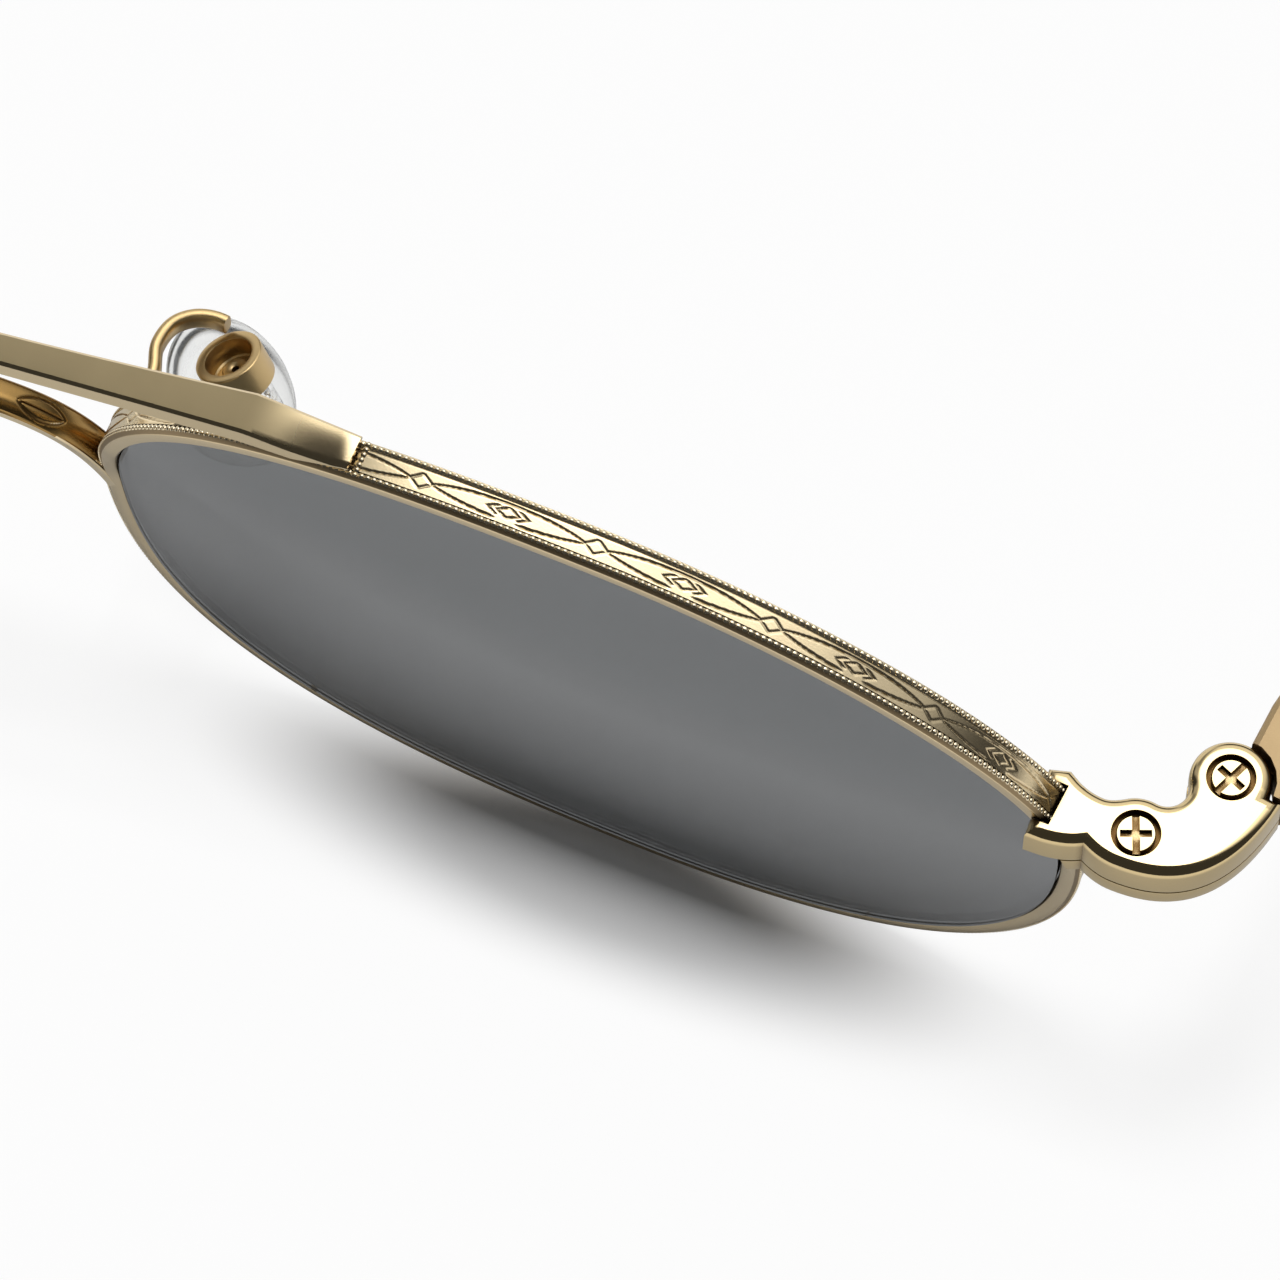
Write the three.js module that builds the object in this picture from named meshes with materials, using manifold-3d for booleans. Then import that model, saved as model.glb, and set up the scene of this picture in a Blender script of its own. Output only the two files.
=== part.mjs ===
// Double-bridge metal sunglasses with panto rims, folding temples and swivelling nose pads.
// Millimetres: +X is the wearer's left, +Y runs back along the temples, +Z is up.
// The glasses stand open on a table, on the lowest point of each rim and on both temple tips.

import * as THREE from 'three';
import { mergeVertices } from 'three/addons/utils/BufferGeometryUtils.js';
import Module from 'manifold-3d';

const wasm = await Module();
wasm.setup();

// Fits
const SEAM = 0.1;                  // gap left between soldered or seated pieces
const RUN = 0.15;                  // clearance round what turns

// Eye rims, measured from the lens centre to the outer edge of the wire
const RIM_NASAL = 26.3;
const RIM_TEMPORAL = 24.5;
const RIM_TOP = 17.0;
const RIM_BOTTOM = 27.5;
const NASAL_TOP_FULLNESS = 2.57;   // superellipse exponent of each quarter of the outline
const TEMPORAL_TOP_FULLNESS = 1.96;
const NASAL_BOTTOM_FULLNESS = 2.55;
const TEMPORAL_BOTTOM_FULLNESS = 2.23;
const RIM_WALL = 1.05;             // wire thickness seen from the front
const RIM_DEPTH = 1.65;            // wire depth, front to back
const BAND_SINK = 0.1;             // the ornamental band lies this far below its two borders
const BORDER_WIDTH = 0.28;         // width of each border beside the band
const GROOVE_DEPTH = 0.45;
const GROOVE_WIDTH = 0.8;
const RIM_GAP = 20.6;              // clear distance between the two rims at the nose
const FRONT_TILT = 6;              // degrees, the top of the front leans forward

// Lenses
const LENS_CROWN = 1.3;            // bulge of the middle over the edge
const LENS_THICKNESS = 1.8;

// Brow bar
const BAR_HALF_LENGTH = 24.6;
const BAR_WAIST = 1.35;            // depth in the middle, where the sloping ends start, and at the ends
const BAR_SWELL = 2.0;
const BAR_END_DEPTH = 1.6;
const BAR_THICKNESS = 1.2;
const BAR_END_HEIGHT = 0.62;       // top of the bar's end over the rim under it
const BAR_END_BEVEL = 5.2;         // length of the sloping end
const BAR_CROWN = 0.35;            // rise from the end to the flat middle
const BAR_LEAD = 0.25;             // the widest places stand this far in front of the ends
const BAR_SLOPE = 0.14;            // how fast the bar runs forward from there towards its middle
const BAR_BEND = 4.0;              // length over which the bow turns in the middle

// Lower bridge
const BRIDGE_DEPTH = 1.7;
const BRIDGE_THICKNESS = 0.85;
const BRIDGE_BACK = 0.97;           // middle of its ends behind the front of the rims
const BRIDGE_RISE = 7.6;
const BRIDGE_BOW = 2.0;            // the middle stands this far in front of the ends
const BRIDGE_FLAT_SHARE = 0.5;     // shares of half the span: the level top, and the full shoulder
const BRIDGE_SHOULDER_SHARE = 0.82;
const BRIDGE_CHAMFER = 0.2;

// Endpiece: two flat plates, the upper one forked round the rim
const PLATE_LEVEL = 5.82;          // top face over the lens centre
const UPPER_PLATE = 2.05;
const LOWER_PLATE = 1.1;
const SPLIT = 0.12;                // saw cut between the plates, and through the rim
const PLATE_BEVEL = 0.12;
const PLATE_ROUND = 0.36;          // rounding round the polished top face
const PLATE_FRONT = 1.86;          // front edge before the rim-lock screw
const LOCK_OUT = 3.97;             // rim-lock screw from the rim's outer surface
const LOCK_BACK = 0.18;
const LOCK_BOSS = 1.92;
const BOSS_END = 125;              // degrees round the rim-lock screw to where the boss meets the waist
const HINGE_OUT = 6.97;            // hinge screw from the rim's outer surface
const HINGE_BACK = 4.54;
const BARREL_RADIUS = 1.95;
const SHOULDER = 0.7;              // step from the barrel out to the plate's outer wall
const SHOULDER_TURN = -5;          // degrees round the hinge axis to that step, where the temple stops
const PLATE_HOLLOW = 1.02;         // radius of the hollow between boss and barrel
const FORK_FRONT_REACH = 0.8;      // how far the two prongs lap past the rim's outer surface
const FORK_REAR_REACH = 1.0;
const FORK_FRONT = 1.85;           // outer edge of the front prong, and of the rear one at root and tip
const FORK_REAR = 2.0;
const FORK_REAR_TIP = 1.7;
const WAIST_OUT = 1.9;
const WAIST_FRONT = 1.25;
const WAIST_REAR = 1.35;

// Screws
const SHANK_RADIUS = 0.6;
const HEAD_RADIUS = 0.93;
const HEAD_HEIGHT = 0.5;
const COUNTERBORE = 1.18;
const SLOT_WIDTH = 0.24;
const SLOT_DEPTH = 0.24;
const CROSS_LENGTH = 1.15;
const LOCK_TURN = 113;             // degrees that the long slot is turned
const HINGE_TURN = 68;

// Hinge leaf and temple
const LEAF_THICKNESS = 0.8;
const LEAF_RADIUS = 1.7;
const LEAF_LENGTH = 6.2;
const LEAF_INNER = 0.55;           // inner and outer edges of the leaf's arm beside the hinge axis
const LEAF_OUTER = 1.5;
const TEMPLE_OUTER = 2.75;         // outer face of the temple beside the hinge axis
const TEMPLE_END_WIDTH = 2.6;
const TEMPLE_END_HEIGHT = 3.1;
const COVE_GAP = 0.2;              // round the hinge barrel, in the temple's hollow end
const TEMPLE_WIDTH = 1.3;
const TEMPLE_HEIGHT = 2.0;
const TEMPLE_TAPER = 14;           // the width settles here, the height a little later
const TEMPLE_FLARE = 24;
const TEMPLE_STRAIGHT = 95;        // hinge axis to the start of the bend
const BEND_RADIUS = 20;
const BEND_ANGLE = 42;
const SPLAY = 2;                   // degrees that each open temple leans outward
const CORE_RADIUS = 0.65;
const CORE_END_COVER = 9;          // plastic beyond the end of the core wire

// Temple tip
const TIP_START = 84;
const TIP_WIDTH = 2.4;
const TIP_HEIGHT = 3.0;
const TIP_END_HEIGHT = 5.2;
const TIP_NOSE = 3.2;              // length of the rounded end

// Nose pads
const CUP_IN = 3.6;                // cup centre from the rim's nose-side edge, and behind the lens plane
const CUP_BACK = 7.6;
const CUP_LEVEL = 0.25;            // over the lens centre
const CUP_RADIUS = 1.72;
const CUP_WALL = 0.5;
const CUP_HEIGHT = 1.8;
const CUP_FLOOR = 0.6;
const EYELET_RADIUS = 0.42;
const EYELET_BORE = 0.2;
const EYELET_FLANGE = 0.72;
const EYELET_FLANGE_HEIGHT = 0.3;
const EYELET_LENGTH = 2.0;
const PAD_HALF_WIDTH = 2.9;
const PAD_HALF_LENGTH = 6.0;
const PAD_THICKNESS = 2.0;
const PAD_ROUND = 0.6;
const STEM_RADIUS = 1.15;
const STEM_LENGTH = 2.3;
const NECK_RADIUS = 0.85;
const STEM_AXIS = new THREE.Vector3(-0.47, 0.15, 0.87);    // from the pad up through the cup
const PAD_FROM_CUP = new THREE.Vector3(-1.35, 1.76, -6.9); // middle of the pad
const PAD_UP = new THREE.Vector3(-0.3, 0, 0.95);           // along the pad
const PAD_FACING = new THREE.Vector3(-0.75, 0.62, -0.24);  // out of the face that bears on the nose

// Pad arms, thin strips on edge
const ARM_THICKNESS = 0.65;
const ARM_HEIGHT = 1.25;
const ARM_LEVEL = 1.1;             // over the lens centre
const ARM_REACH = 3.75;            // the loop's widest point and its back, from the cup's middle
const ARM_BACK = 1.65;

// Facets
const OUTLINE_STEPS = 17;          // along each quarter of the rim
const LENS_STEPS = 9;
const LENS_RINGS = 3;
const ROUND_STEPS = 20;
const ROUND_EDGE_STEPS = 2;        // across the rounding of an endpiece's top
const CURVE_STEPS = 6;             // along each curve of a plan outline
const BAR_STEPS = 16;
const BRIDGE_STEPS = 10;           // along half the bridge
const ARM_STEPS = 18;
const BEND_STEPS = 8;
const TIP_STEPS = 6;               // along the straight part of a temple tip
const OVAL_STEPS = 28;             // round a nose pad

const GOLD = { color: 0xd8bc88, metalness: 1, roughness: 0.25 };
const GREY_LENS = { color: 0x6f7376, metalness: 0, roughness: 0.05, transparent: true, opacity: 0.75 };
const CLEAR = { color: 0xf2f2ee, metalness: 0, roughness: 0.2, transparent: true, opacity: 0.4 };
const TORTOISE = { color: 0x4a2a16, metalness: 0, roughness: 0.25 };

const { degToRad: radians, lerp } = THREE.MathUtils;
const tilt = radians(FRONT_TILT);

// Solids: closed geometries become solids for joining and cutting

function solid(geometry) {
  const bare = geometry.clone();
  bare.deleteAttribute('normal');
  bare.deleteAttribute('uv');
  const merged = mergeVertices(bare, 1e-4);
  return new wasm.Manifold(new wasm.Mesh({
    numProp: 3,
    vertProperties: new Float32Array(merged.attributes.position.array),
    triVerts: new Uint32Array(merged.index.array),
  }));
}

function geometryOf(body) {
  const { vertProperties, triVerts } = body.getMesh();
  const geometry = new THREE.BufferGeometry();
  geometry.setAttribute('position', new THREE.BufferAttribute(vertProperties, 3));
  geometry.setIndex(new THREE.BufferAttribute(triVerts, 1));
  return geometry;
}

function cut(geometry, ...cutters) {
  return geometryOf(cutters.reduce((body, cutter) => body.subtract(solid(cutter)), solid(geometry)));
}

function join(geometry, ...others) {
  return geometryOf(others.reduce((body, other) => body.add(solid(other)), solid(geometry)));
}

function common(geometry, other) {
  return geometryOf(solid(geometry).intersect(solid(other)));
}

// Forms

function prism(shape, bottom, top) {
  const settings = { depth: top - bottom, bevelEnabled: false, curveSegments: CURVE_STEPS };
  return new THREE.ExtrudeGeometry(shape, settings).translate(0, 0, bottom);
}

function bevelledPrism(shape, bottom, top, bevel, segments) {
  const settings = {
    depth: top - bottom - 2 * bevel,
    bevelEnabled: true,
    bevelThickness: bevel,
    bevelSize: bevel,
    bevelOffset: -bevel,
    bevelSegments: segments,
    curveSegments: CURVE_STEPS,
  };
  return new THREE.ExtrudeGeometry(shape, settings).translate(0, 0, bottom + bevel);
}

function upright(radius, bottom, top, at = new THREE.Vector2()) {
  const height = top - bottom;
  const geometry = new THREE.CylinderGeometry(radius, radius, height, ROUND_STEPS);
  return geometry.rotateX(Math.PI / 2).translate(at.x, at.y, bottom + height / 2);
}

// A skin through rings of equal count, each turning anticlockwise about the way the rings run.
function loft(rings) {
  const count = rings[0].length;
  const end = (rings.length - 1) * count;
  const index = [];
  for (let ring = 0; ring < rings.length - 1; ring++) {
    for (let step = 0; step < count; step++) {
      const a = ring * count + step;
      const b = ring * count + (step + 1) % count;
      index.push(a, b, b + count, a, b + count, a + count);
    }
  }
  for (let step = 1; step < count - 1; step++) {
    index.push(0, step + 1, step, end, end + step, end + step + 1);
  }
  const geometry = new THREE.BufferGeometry().setFromPoints(rings.flat());
  return geometry.setIndex(index);
}

// A rectangle with rounded corners, as points round its middle.
function section(halfWidth, halfHeight, corner) {
  const radius = Math.min(corner, halfWidth, halfHeight);
  const points = [];
  for (const [right, up, start] of [[1, 1, 0], [-1, 1, 90], [-1, -1, 180], [1, -1, 270]]) {
    for (const turn of [0, 45, 90]) {
      const angle = radians(start + turn);
      points.push(new THREE.Vector2(
        right * (halfWidth - radius) + radius * Math.cos(angle),
        up * (halfHeight - radius) + radius * Math.sin(angle),
      ));
    }
  }
  return points;
}

function ring(points, origin, right, up) {
  return points.map((point) => origin.clone().addScaledVector(right, point.x).addScaledVector(up, point.y));
}

function mix(from, to, share) {
  return lerp(from, to, THREE.MathUtils.smootherstep(share, 0, 1));
}

// Rim outline in the plane of the lens: x to the temple, y up, grown outward by an offset

function rimPoint(angle, offset) {
  const across = Math.cos(angle);
  const along = Math.sin(angle);
  const nasal = across < 0;
  const low = along < 0;
  const width = nasal ? RIM_NASAL : RIM_TEMPORAL;
  const height = low ? RIM_BOTTOM : RIM_TOP;
  const lowFullness = nasal ? NASAL_BOTTOM_FULLNESS : TEMPORAL_BOTTOM_FULLNESS;
  const topFullness = nasal ? NASAL_TOP_FULLNESS : TEMPORAL_TOP_FULLNESS;
  const power = 2 / (low ? lowFullness : topFullness);
  const point = new THREE.Vector2(
    width * Math.sign(across) * Math.abs(across) ** power,
    height * Math.sign(along) * Math.abs(along) ** power,
  );
  const outward = new THREE.Vector2(
    Math.sign(across) * Math.abs(across) ** (2 - power) / width,
    Math.sign(along) * Math.abs(along) ** (2 - power) / height,
  );
  return point.addScaledVector(outward.normalize(), offset);
}

function rimOutline(offset, steps) {
  const count = 4 * steps;
  return Array.from({ length: count }, (_, step) => rimPoint(2 * Math.PI * step / count, offset));
}

function rimPlate(offset, back, front) {
  return prism(new THREE.Shape(rimOutline(offset, OUTLINE_STEPS)), back, front);
}

// Height of the rim's upper edge over the lens centre, on the nose side.
function rimHeight(across) {
  return RIM_TOP * (1 - Math.abs(across / RIM_NASAL) ** NASAL_TOP_FULLNESS) ** (1 / NASAL_TOP_FULLNESS);
}

// Reach of the rim towards the temple, above the lens centre.
function rimReach(height) {
  const fullness = TEMPORAL_TOP_FULLNESS;
  return RIM_TEMPORAL * (1 - Math.abs(height / RIM_TOP) ** fullness) ** (1 / fullness);
}

// Places that several pieces share, on the wearer's left

const eye = new THREE.Vector3(RIM_GAP / 2 + RIM_NASAL, 0, RIM_BOTTOM * Math.cos(tilt));
const lensPlane = new THREE.Matrix4().makeRotationX(Math.PI / 2 + tilt).setPosition(eye);
const mirror = new THREE.Matrix4().makeScale(-1, 1, 1);

const plateTop = eye.z + PLATE_LEVEL;
const splitTop = plateTop - UPPER_PLATE;
const splitBottom = splitTop - SPLIT;
const plateBottom = splitBottom - LOWER_PLATE;
const plateRoot = eye.x + rimReach(PLATE_LEVEL / Math.cos(tilt));
const lockScrew = new THREE.Vector2(plateRoot + LOCK_OUT, LOCK_BACK);
const hinge = new THREE.Vector2(plateRoot + HINGE_OUT, HINGE_BACK);
const shoulder = new THREE.Vector2(BARREL_RADIUS + SHOULDER, 0)
  .rotateAround(new THREE.Vector2(), radians(SHOULDER_TURN));
const leafBottom = splitBottom + RUN;
const leafTop = leafBottom + LEAF_THICKNESS;
const knuckleBottom = leafTop + RUN;
const templeLevel = (plateTop + plateBottom) / 2;

// The room that the rim takes up, for cutting what is soldered to it.
function rimRoom(behind, ahead) {
  return rimPlate(SEAM, -RIM_DEPTH - behind, ahead).applyMatrix4(lensPlane);
}

// Rim and lens, in the plane of the lens with the front face at z = 0

function rim() {
  const middle = -RIM_DEPTH / 2;
  const beyond = 1;
  const grooveReach = GROOVE_DEPTH - RIM_WALL;
  const blank = rimPlate(0, -RIM_DEPTH, 0);
  const opening = rimPlate(-RIM_WALL, -RIM_DEPTH - beyond, beyond);
  const groove = rimPlate(grooveReach, middle - GROOVE_WIDTH / 2, middle + GROOVE_WIDTH / 2);
  const bandBack = -RIM_DEPTH + BORDER_WIDTH;
  const bandRing = cut(
    rimPlate(beyond, bandBack, -BORDER_WIDTH),
    rimPlate(-BAND_SINK, bandBack - beyond, beyond - BORDER_WIDTH),
  );
  const sawLength = HINGE_OUT;
  const saw = new THREE.BoxGeometry(sawLength, 4 * RIM_DEPTH, SPLIT)
    .translate(plateRoot, 0, splitBottom + SPLIT / 2)
    .applyMatrix4(lensPlane.clone().invert());
  return cut(blank, opening, groove, bandRing, saw);
}

// The edge runs in the rim's groove as a flat tongue; both faces bulge forward.
function lens() {
  const middle = -RIM_DEPTH / 2;
  const edge = rimOutline(-RIM_WALL - SEAM, LENS_STEPS);
  const tongue = rimOutline(GROOVE_DEPTH - RIM_WALL - SEAM, LENS_STEPS);
  const halfTongue = GROOVE_WIDTH / 2 - SEAM;
  const face = (share, level) => edge.map((point) => new THREE.Vector3(
    point.x * share, point.y * share, level + LENS_CROWN * (1 - share * share),
  ));
  const level = (points, height) => points.map((point) => new THREE.Vector3(point.x, point.y, height));
  const shares = Array.from({ length: LENS_RINGS + 1 }, (_, step) => (step + 0.4) / (LENS_RINGS + 0.4));
  const back = shares.map((share) => face(share, middle - LENS_THICKNESS / 2));
  const front = shares.map((share) => face(share, middle + LENS_THICKNESS / 2)).reverse();
  return loft([
    ...back,
    level(edge, middle - halfTongue),
    level(tongue, middle - halfTongue),
    level(tongue, middle + halfTongue),
    level(edge, middle + halfTongue),
    ...front,
  ]);
}

// Brow bar: a bowed strip with sloping ends that lie on both rims

function browBar() {
  const endAcross = BAR_HALF_LENGTH - eye.x;
  const endRise = rimHeight(endAcross);
  const endTop = eye.z + endRise * Math.cos(tilt) + BAR_END_HEIGHT;
  const endMiddle = -endRise * Math.sin(tilt) + RIM_DEPTH * Math.cos(tilt) / 2;
  const crownTop = endTop + BAR_CROWN;
  const bevelStart = BAR_HALF_LENGTH - BAR_END_BEVEL;
  const front = new THREE.Shape([
    new THREE.Vector2(-BAR_HALF_LENGTH, endTop - BAR_THICKNESS),
    new THREE.Vector2(-bevelStart, crownTop - BAR_THICKNESS),
    new THREE.Vector2(bevelStart, crownTop - BAR_THICKNESS),
    new THREE.Vector2(BAR_HALF_LENGTH, endTop - BAR_THICKNESS),
    new THREE.Vector2(BAR_HALF_LENGTH, endTop),
    new THREE.Vector2(bevelStart, crownTop),
    new THREE.Vector2(-bevelStart, crownTop),
    new THREE.Vector2(-BAR_HALF_LENGTH, endTop),
  ]);
  const depthAt = (span) => (span > bevelStart
    ? lerp(BAR_SWELL, BAR_END_DEPTH, (span - bevelStart) / BAR_END_BEVEL)
    : lerp(BAR_WAIST, BAR_SWELL, (span / bevelStart) ** 2));
  const spread = Math.hypot(bevelStart, BAR_BEND);
  const middleAt = (span) => {
    const lead = BAR_LEAD * Math.min((BAR_HALF_LENGTH - span) / BAR_END_BEVEL, 1);
    return endMiddle - lead - BAR_SLOPE * Math.max(spread - Math.hypot(span, BAR_BEND), 0);
  };
  const beyond = BAR_HALF_LENGTH + BAR_THICKNESS;
  const along = [-beyond, ...stations(-bevelStart, bevelStart, BAR_STEPS), beyond];
  const edge = (side) => along.map((x) => {
    const span = Math.abs(x);
    return new THREE.Vector2(x, middleAt(span) + side * depthAt(span) / 2);
  });
  const plan = new THREE.Shape([...edge(-1), ...edge(1).reverse()]);
  const depth = 4 * RIM_TOP;
  const seenFromFront = prism(front, -depth / 2, depth / 2).rotateX(Math.PI / 2);
  const seenFromAbove = prism(plan, crownTop - RIM_TOP, crownTop + RIM_TOP);
  const room = rimRoom(RIM_DEPTH, RIM_DEPTH);
  return cut(common(seenFromFront, seenFromAbove), room, mirrored(room));
}

function mirrored(geometry) {
  const copy = geometry.clone().applyMatrix4(mirror);
  const index = Array.from(copy.index ? copy.index.array : copy.attributes.position.array.keys());
  if (!copy.index) index.length = copy.attributes.position.count;
  const turned = [];
  for (let corner = 0; corner < index.length; corner += 3) {
    turned.push(index[corner], index[corner + 2], index[corner + 1]);
  }
  return copy.setIndex(turned);
}

// Lower bridge: an arch that rises and bows forward between the rims

function bridge() {
  const foot = new THREE.Vector3(RIM_GAP / 2 + RIM_WALL / 2, BRIDGE_BACK, eye.z - RIM_WALL);
  const apex = new THREE.Vector3(0, foot.y - BRIDGE_BOW, foot.z + BRIDGE_RISE);
  const half = new THREE.CubicBezierCurve3(
    apex,
    new THREE.Vector3(BRIDGE_FLAT_SHARE * foot.x, apex.y, apex.z),
    new THREE.Vector3(BRIDGE_SHOULDER_SHARE * foot.x, (apex.y + foot.y) / 2, apex.z),
    foot,
  );
  const right = half.getSpacedPoints(BRIDGE_STEPS);
  const left = right.slice(1).map((point) => point.clone().setX(-point.x)).reverse();
  const path = [...left, ...right];
  const outline = section(BRIDGE_DEPTH / 2, BRIDGE_THICKNESS / 2, BRIDGE_CHAMFER);
  const rings = path.map((point, step) => {
    const before = path[Math.max(step - 1, 0)];
    const after = path[Math.min(step + 1, path.length - 1)];
    const along = after.clone().sub(before).normalize();
    const back = new THREE.Vector3(0, 1, 0).addScaledVector(along, -along.y).normalize();
    return ring(outline, point, back, along.clone().cross(back));
  });
  const room = rimRoom(RIM_DEPTH, RIM_DEPTH);
  return cut(loft(rings), room, mirrored(room));
}

// Endpiece plates, in plan

function plateOutline() {
  const boss = LOCK_BOSS + PLATE_HOLLOW;
  const barrel = BARREL_RADIUS + PLATE_HOLLOW;
  const span = hinge.clone().sub(lockScrew);
  const length = span.length();
  const towards = span.clone().normalize();
  const aside = new THREE.Vector2(-towards.y, towards.x);
  const reach = (boss ** 2 - barrel ** 2 + length ** 2) / (2 * length);
  const hollow = lockScrew.clone()
    .addScaledVector(towards, reach)
    .addScaledVector(aside, Math.sqrt(boss ** 2 - reach ** 2));
  const fromHinge = hollow.clone().sub(hinge).angle();
  const fromBoss = hollow.clone().sub(lockScrew).angle();
  const outer = shoulder.clone().add(hinge);
  const front = lockScrew.y - PLATE_FRONT;
  const sweepStart = lockScrew.x - 0.2 * LOCK_BOSS;
  const waist = plateRoot + WAIST_OUT;
  const shape = new THREE.Shape();
  shape.moveTo(plateRoot - FORK_FRONT_REACH, -FORK_FRONT);
  shape.quadraticCurveTo(plateRoot + 0.5 * WAIST_OUT, -FORK_FRONT, waist, -WAIST_FRONT);
  shape.quadraticCurveTo((waist + sweepStart) / 2, front, sweepStart, front);
  shape.bezierCurveTo(
    sweepStart + 0.66 * (outer.x - sweepStart), front,
    outer.x - 0.1 * (outer.x - sweepStart), outer.y - 0.57 * (outer.y - front),
    outer.x, outer.y,
  );
  shape.absarc(hinge.x, hinge.y, BARREL_RADIUS, radians(SHOULDER_TURN), fromHinge, false);
  shape.absarc(hollow.x, hollow.y, PLATE_HOLLOW, fromHinge + Math.PI, fromBoss + Math.PI, true);
  shape.absarc(lockScrew.x, lockScrew.y, LOCK_BOSS, fromBoss, radians(BOSS_END), false);
  shape.quadraticCurveTo(waist + 0.2 * WAIST_OUT, WAIST_REAR, waist, WAIST_REAR);
  shape.quadraticCurveTo(plateRoot + 0.5 * WAIST_OUT, WAIST_REAR, plateRoot, FORK_REAR);
  shape.lineTo(plateRoot - FORK_REAR_REACH, FORK_REAR_TIP);
  return shape;
}

function upperEndpiece() {
  const above = plateTop + HEAD_HEIGHT;
  const below = splitTop - UPPER_PLATE;
  const plate = bevelledPrism(plateOutline(), below, plateTop, PLATE_ROUND, ROUND_EDGE_STEPS);
  const sawnOff = new THREE.BoxGeometry(2 * RIM_TEMPORAL, 2 * RIM_TEMPORAL, 2 * UPPER_PLATE)
    .translate(lockScrew.x, lockScrew.y, splitTop - UPPER_PLATE);
  const floor = plateTop - HEAD_HEIGHT;
  const holes = [lockScrew, hinge].flatMap((at) => [
    upright(SHANK_RADIUS + SEAM, below, above, at),
    upright(COUNTERBORE, floor, above, at),
  ]);
  const knuckleRoom = upright(BARREL_RADIUS + RUN, below, knuckleBottom, hinge);
  return cut(plate, sawnOff, rimRoom(SEAM, SEAM), knuckleRoom, ...holes);
}

function lowerEndpiece() {
  const plate = bevelledPrism(plateOutline(), plateBottom, splitBottom, PLATE_BEVEL, 1);
  const holes = [lockScrew, hinge].map((at) => (
    upright(SHANK_RADIUS + SEAM, plateBottom - 1, splitBottom + 1, at)
  ));
  return cut(plate, rimRoom(RIM_DEPTH, RIM_DEPTH), ...holes);
}

// Screws, with a slot right across the head and a shorter slot square to it

function screw(at, turn) {
  const top = plateTop - SEAM / 2;
  const underHead = plateTop - HEAD_HEIGHT + SEAM;
  const shank = upright(SHANK_RADIUS, plateBottom, (underHead + top) / 2);
  const head = upright(HEAD_RADIUS, underHead, top);
  const slots = [3 * HEAD_RADIUS, CROSS_LENGTH].map((length, step) => (
    new THREE.BoxGeometry(length, SLOT_WIDTH, 2 * SLOT_DEPTH)
      .rotateZ(radians(turn + 90 * step))
      .translate(0, 0, top)
  ));
  return cut(join(shank, head), ...slots).translate(at.x, at.y, 0);
}

// Temple parts, about the hinge axis, with y along the open temple and z = 0 at its middle

function hingeLeaf() {
  const inner = Math.acos(LEAF_INNER / LEAF_RADIUS);
  const outer = Math.acos(LEAF_OUTER / LEAF_RADIUS);
  const shape = new THREE.Shape();
  shape.moveTo(LEAF_OUTER, LEAF_LENGTH);
  shape.lineTo(LEAF_INNER, LEAF_LENGTH);
  shape.absarc(0, 0, LEAF_RADIUS, inner, outer + 2 * Math.PI, false);
  const bottom = leafBottom - templeLevel;
  const top = leafTop - templeLevel;
  const hole = upright(SHANK_RADIUS + RUN, bottom - 1, top + 1);
  return cut(prism(shape, bottom, top), hole);
}

const bend = radians(BEND_ANGLE);
const bendLength = BEND_RADIUS * bend;
const bendDrop = BEND_RADIUS * (1 - Math.cos(bend));
const noseDrop = Math.hypot(TIP_NOSE * Math.sin(bend), TIP_END_HEIGHT / 2 * Math.cos(bend));
const tipStraight = (templeLevel - bendDrop - noseDrop) / Math.sin(bend);
const noseStart = TEMPLE_STRAIGHT + bendLength + tipStraight;
const coreEnd = noseStart - CORE_END_COVER;

// Middle line of the temple: straight, then bent down over the ear, then straight to the table.
function templeFrame(along) {
  const turn = THREE.MathUtils.clamp((along - TEMPLE_STRAIGHT) / BEND_RADIUS, 0, bend);
  const straight = Math.min(along, TEMPLE_STRAIGHT);
  const rest = Math.max(along - TEMPLE_STRAIGHT - bendLength, 0);
  const origin = new THREE.Vector3(
    TEMPLE_OUTER - TEMPLE_WIDTH / 2,
    straight + BEND_RADIUS * Math.sin(turn) + rest * Math.cos(turn),
    -BEND_RADIUS * (1 - Math.cos(turn)) - rest * Math.sin(turn),
  );
  return { origin, up: new THREE.Vector3(0, Math.sin(turn), Math.cos(turn)) };
}

const inward = new THREE.Vector3(-1, 0, 0);

function templeRing(along, halfWidth, halfHeight, corner, shift = 0) {
  const { origin, up } = templeFrame(along);
  return ring(section(halfWidth, halfHeight, corner), origin.addScaledVector(inward, shift), inward, up);
}

function stations(from, to, count) {
  return Array.from({ length: count + 1 }, (_, step) => from + (to - from) * step / count);
}

const bendStations = stations(TEMPLE_STRAIGHT, TEMPLE_STRAIGHT + bendLength, BEND_STEPS);

function coreRings(radius, from, to) {
  return [from, ...bendStations, to].map((along) => templeRing(along, radius, radius, radius));
}

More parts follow.
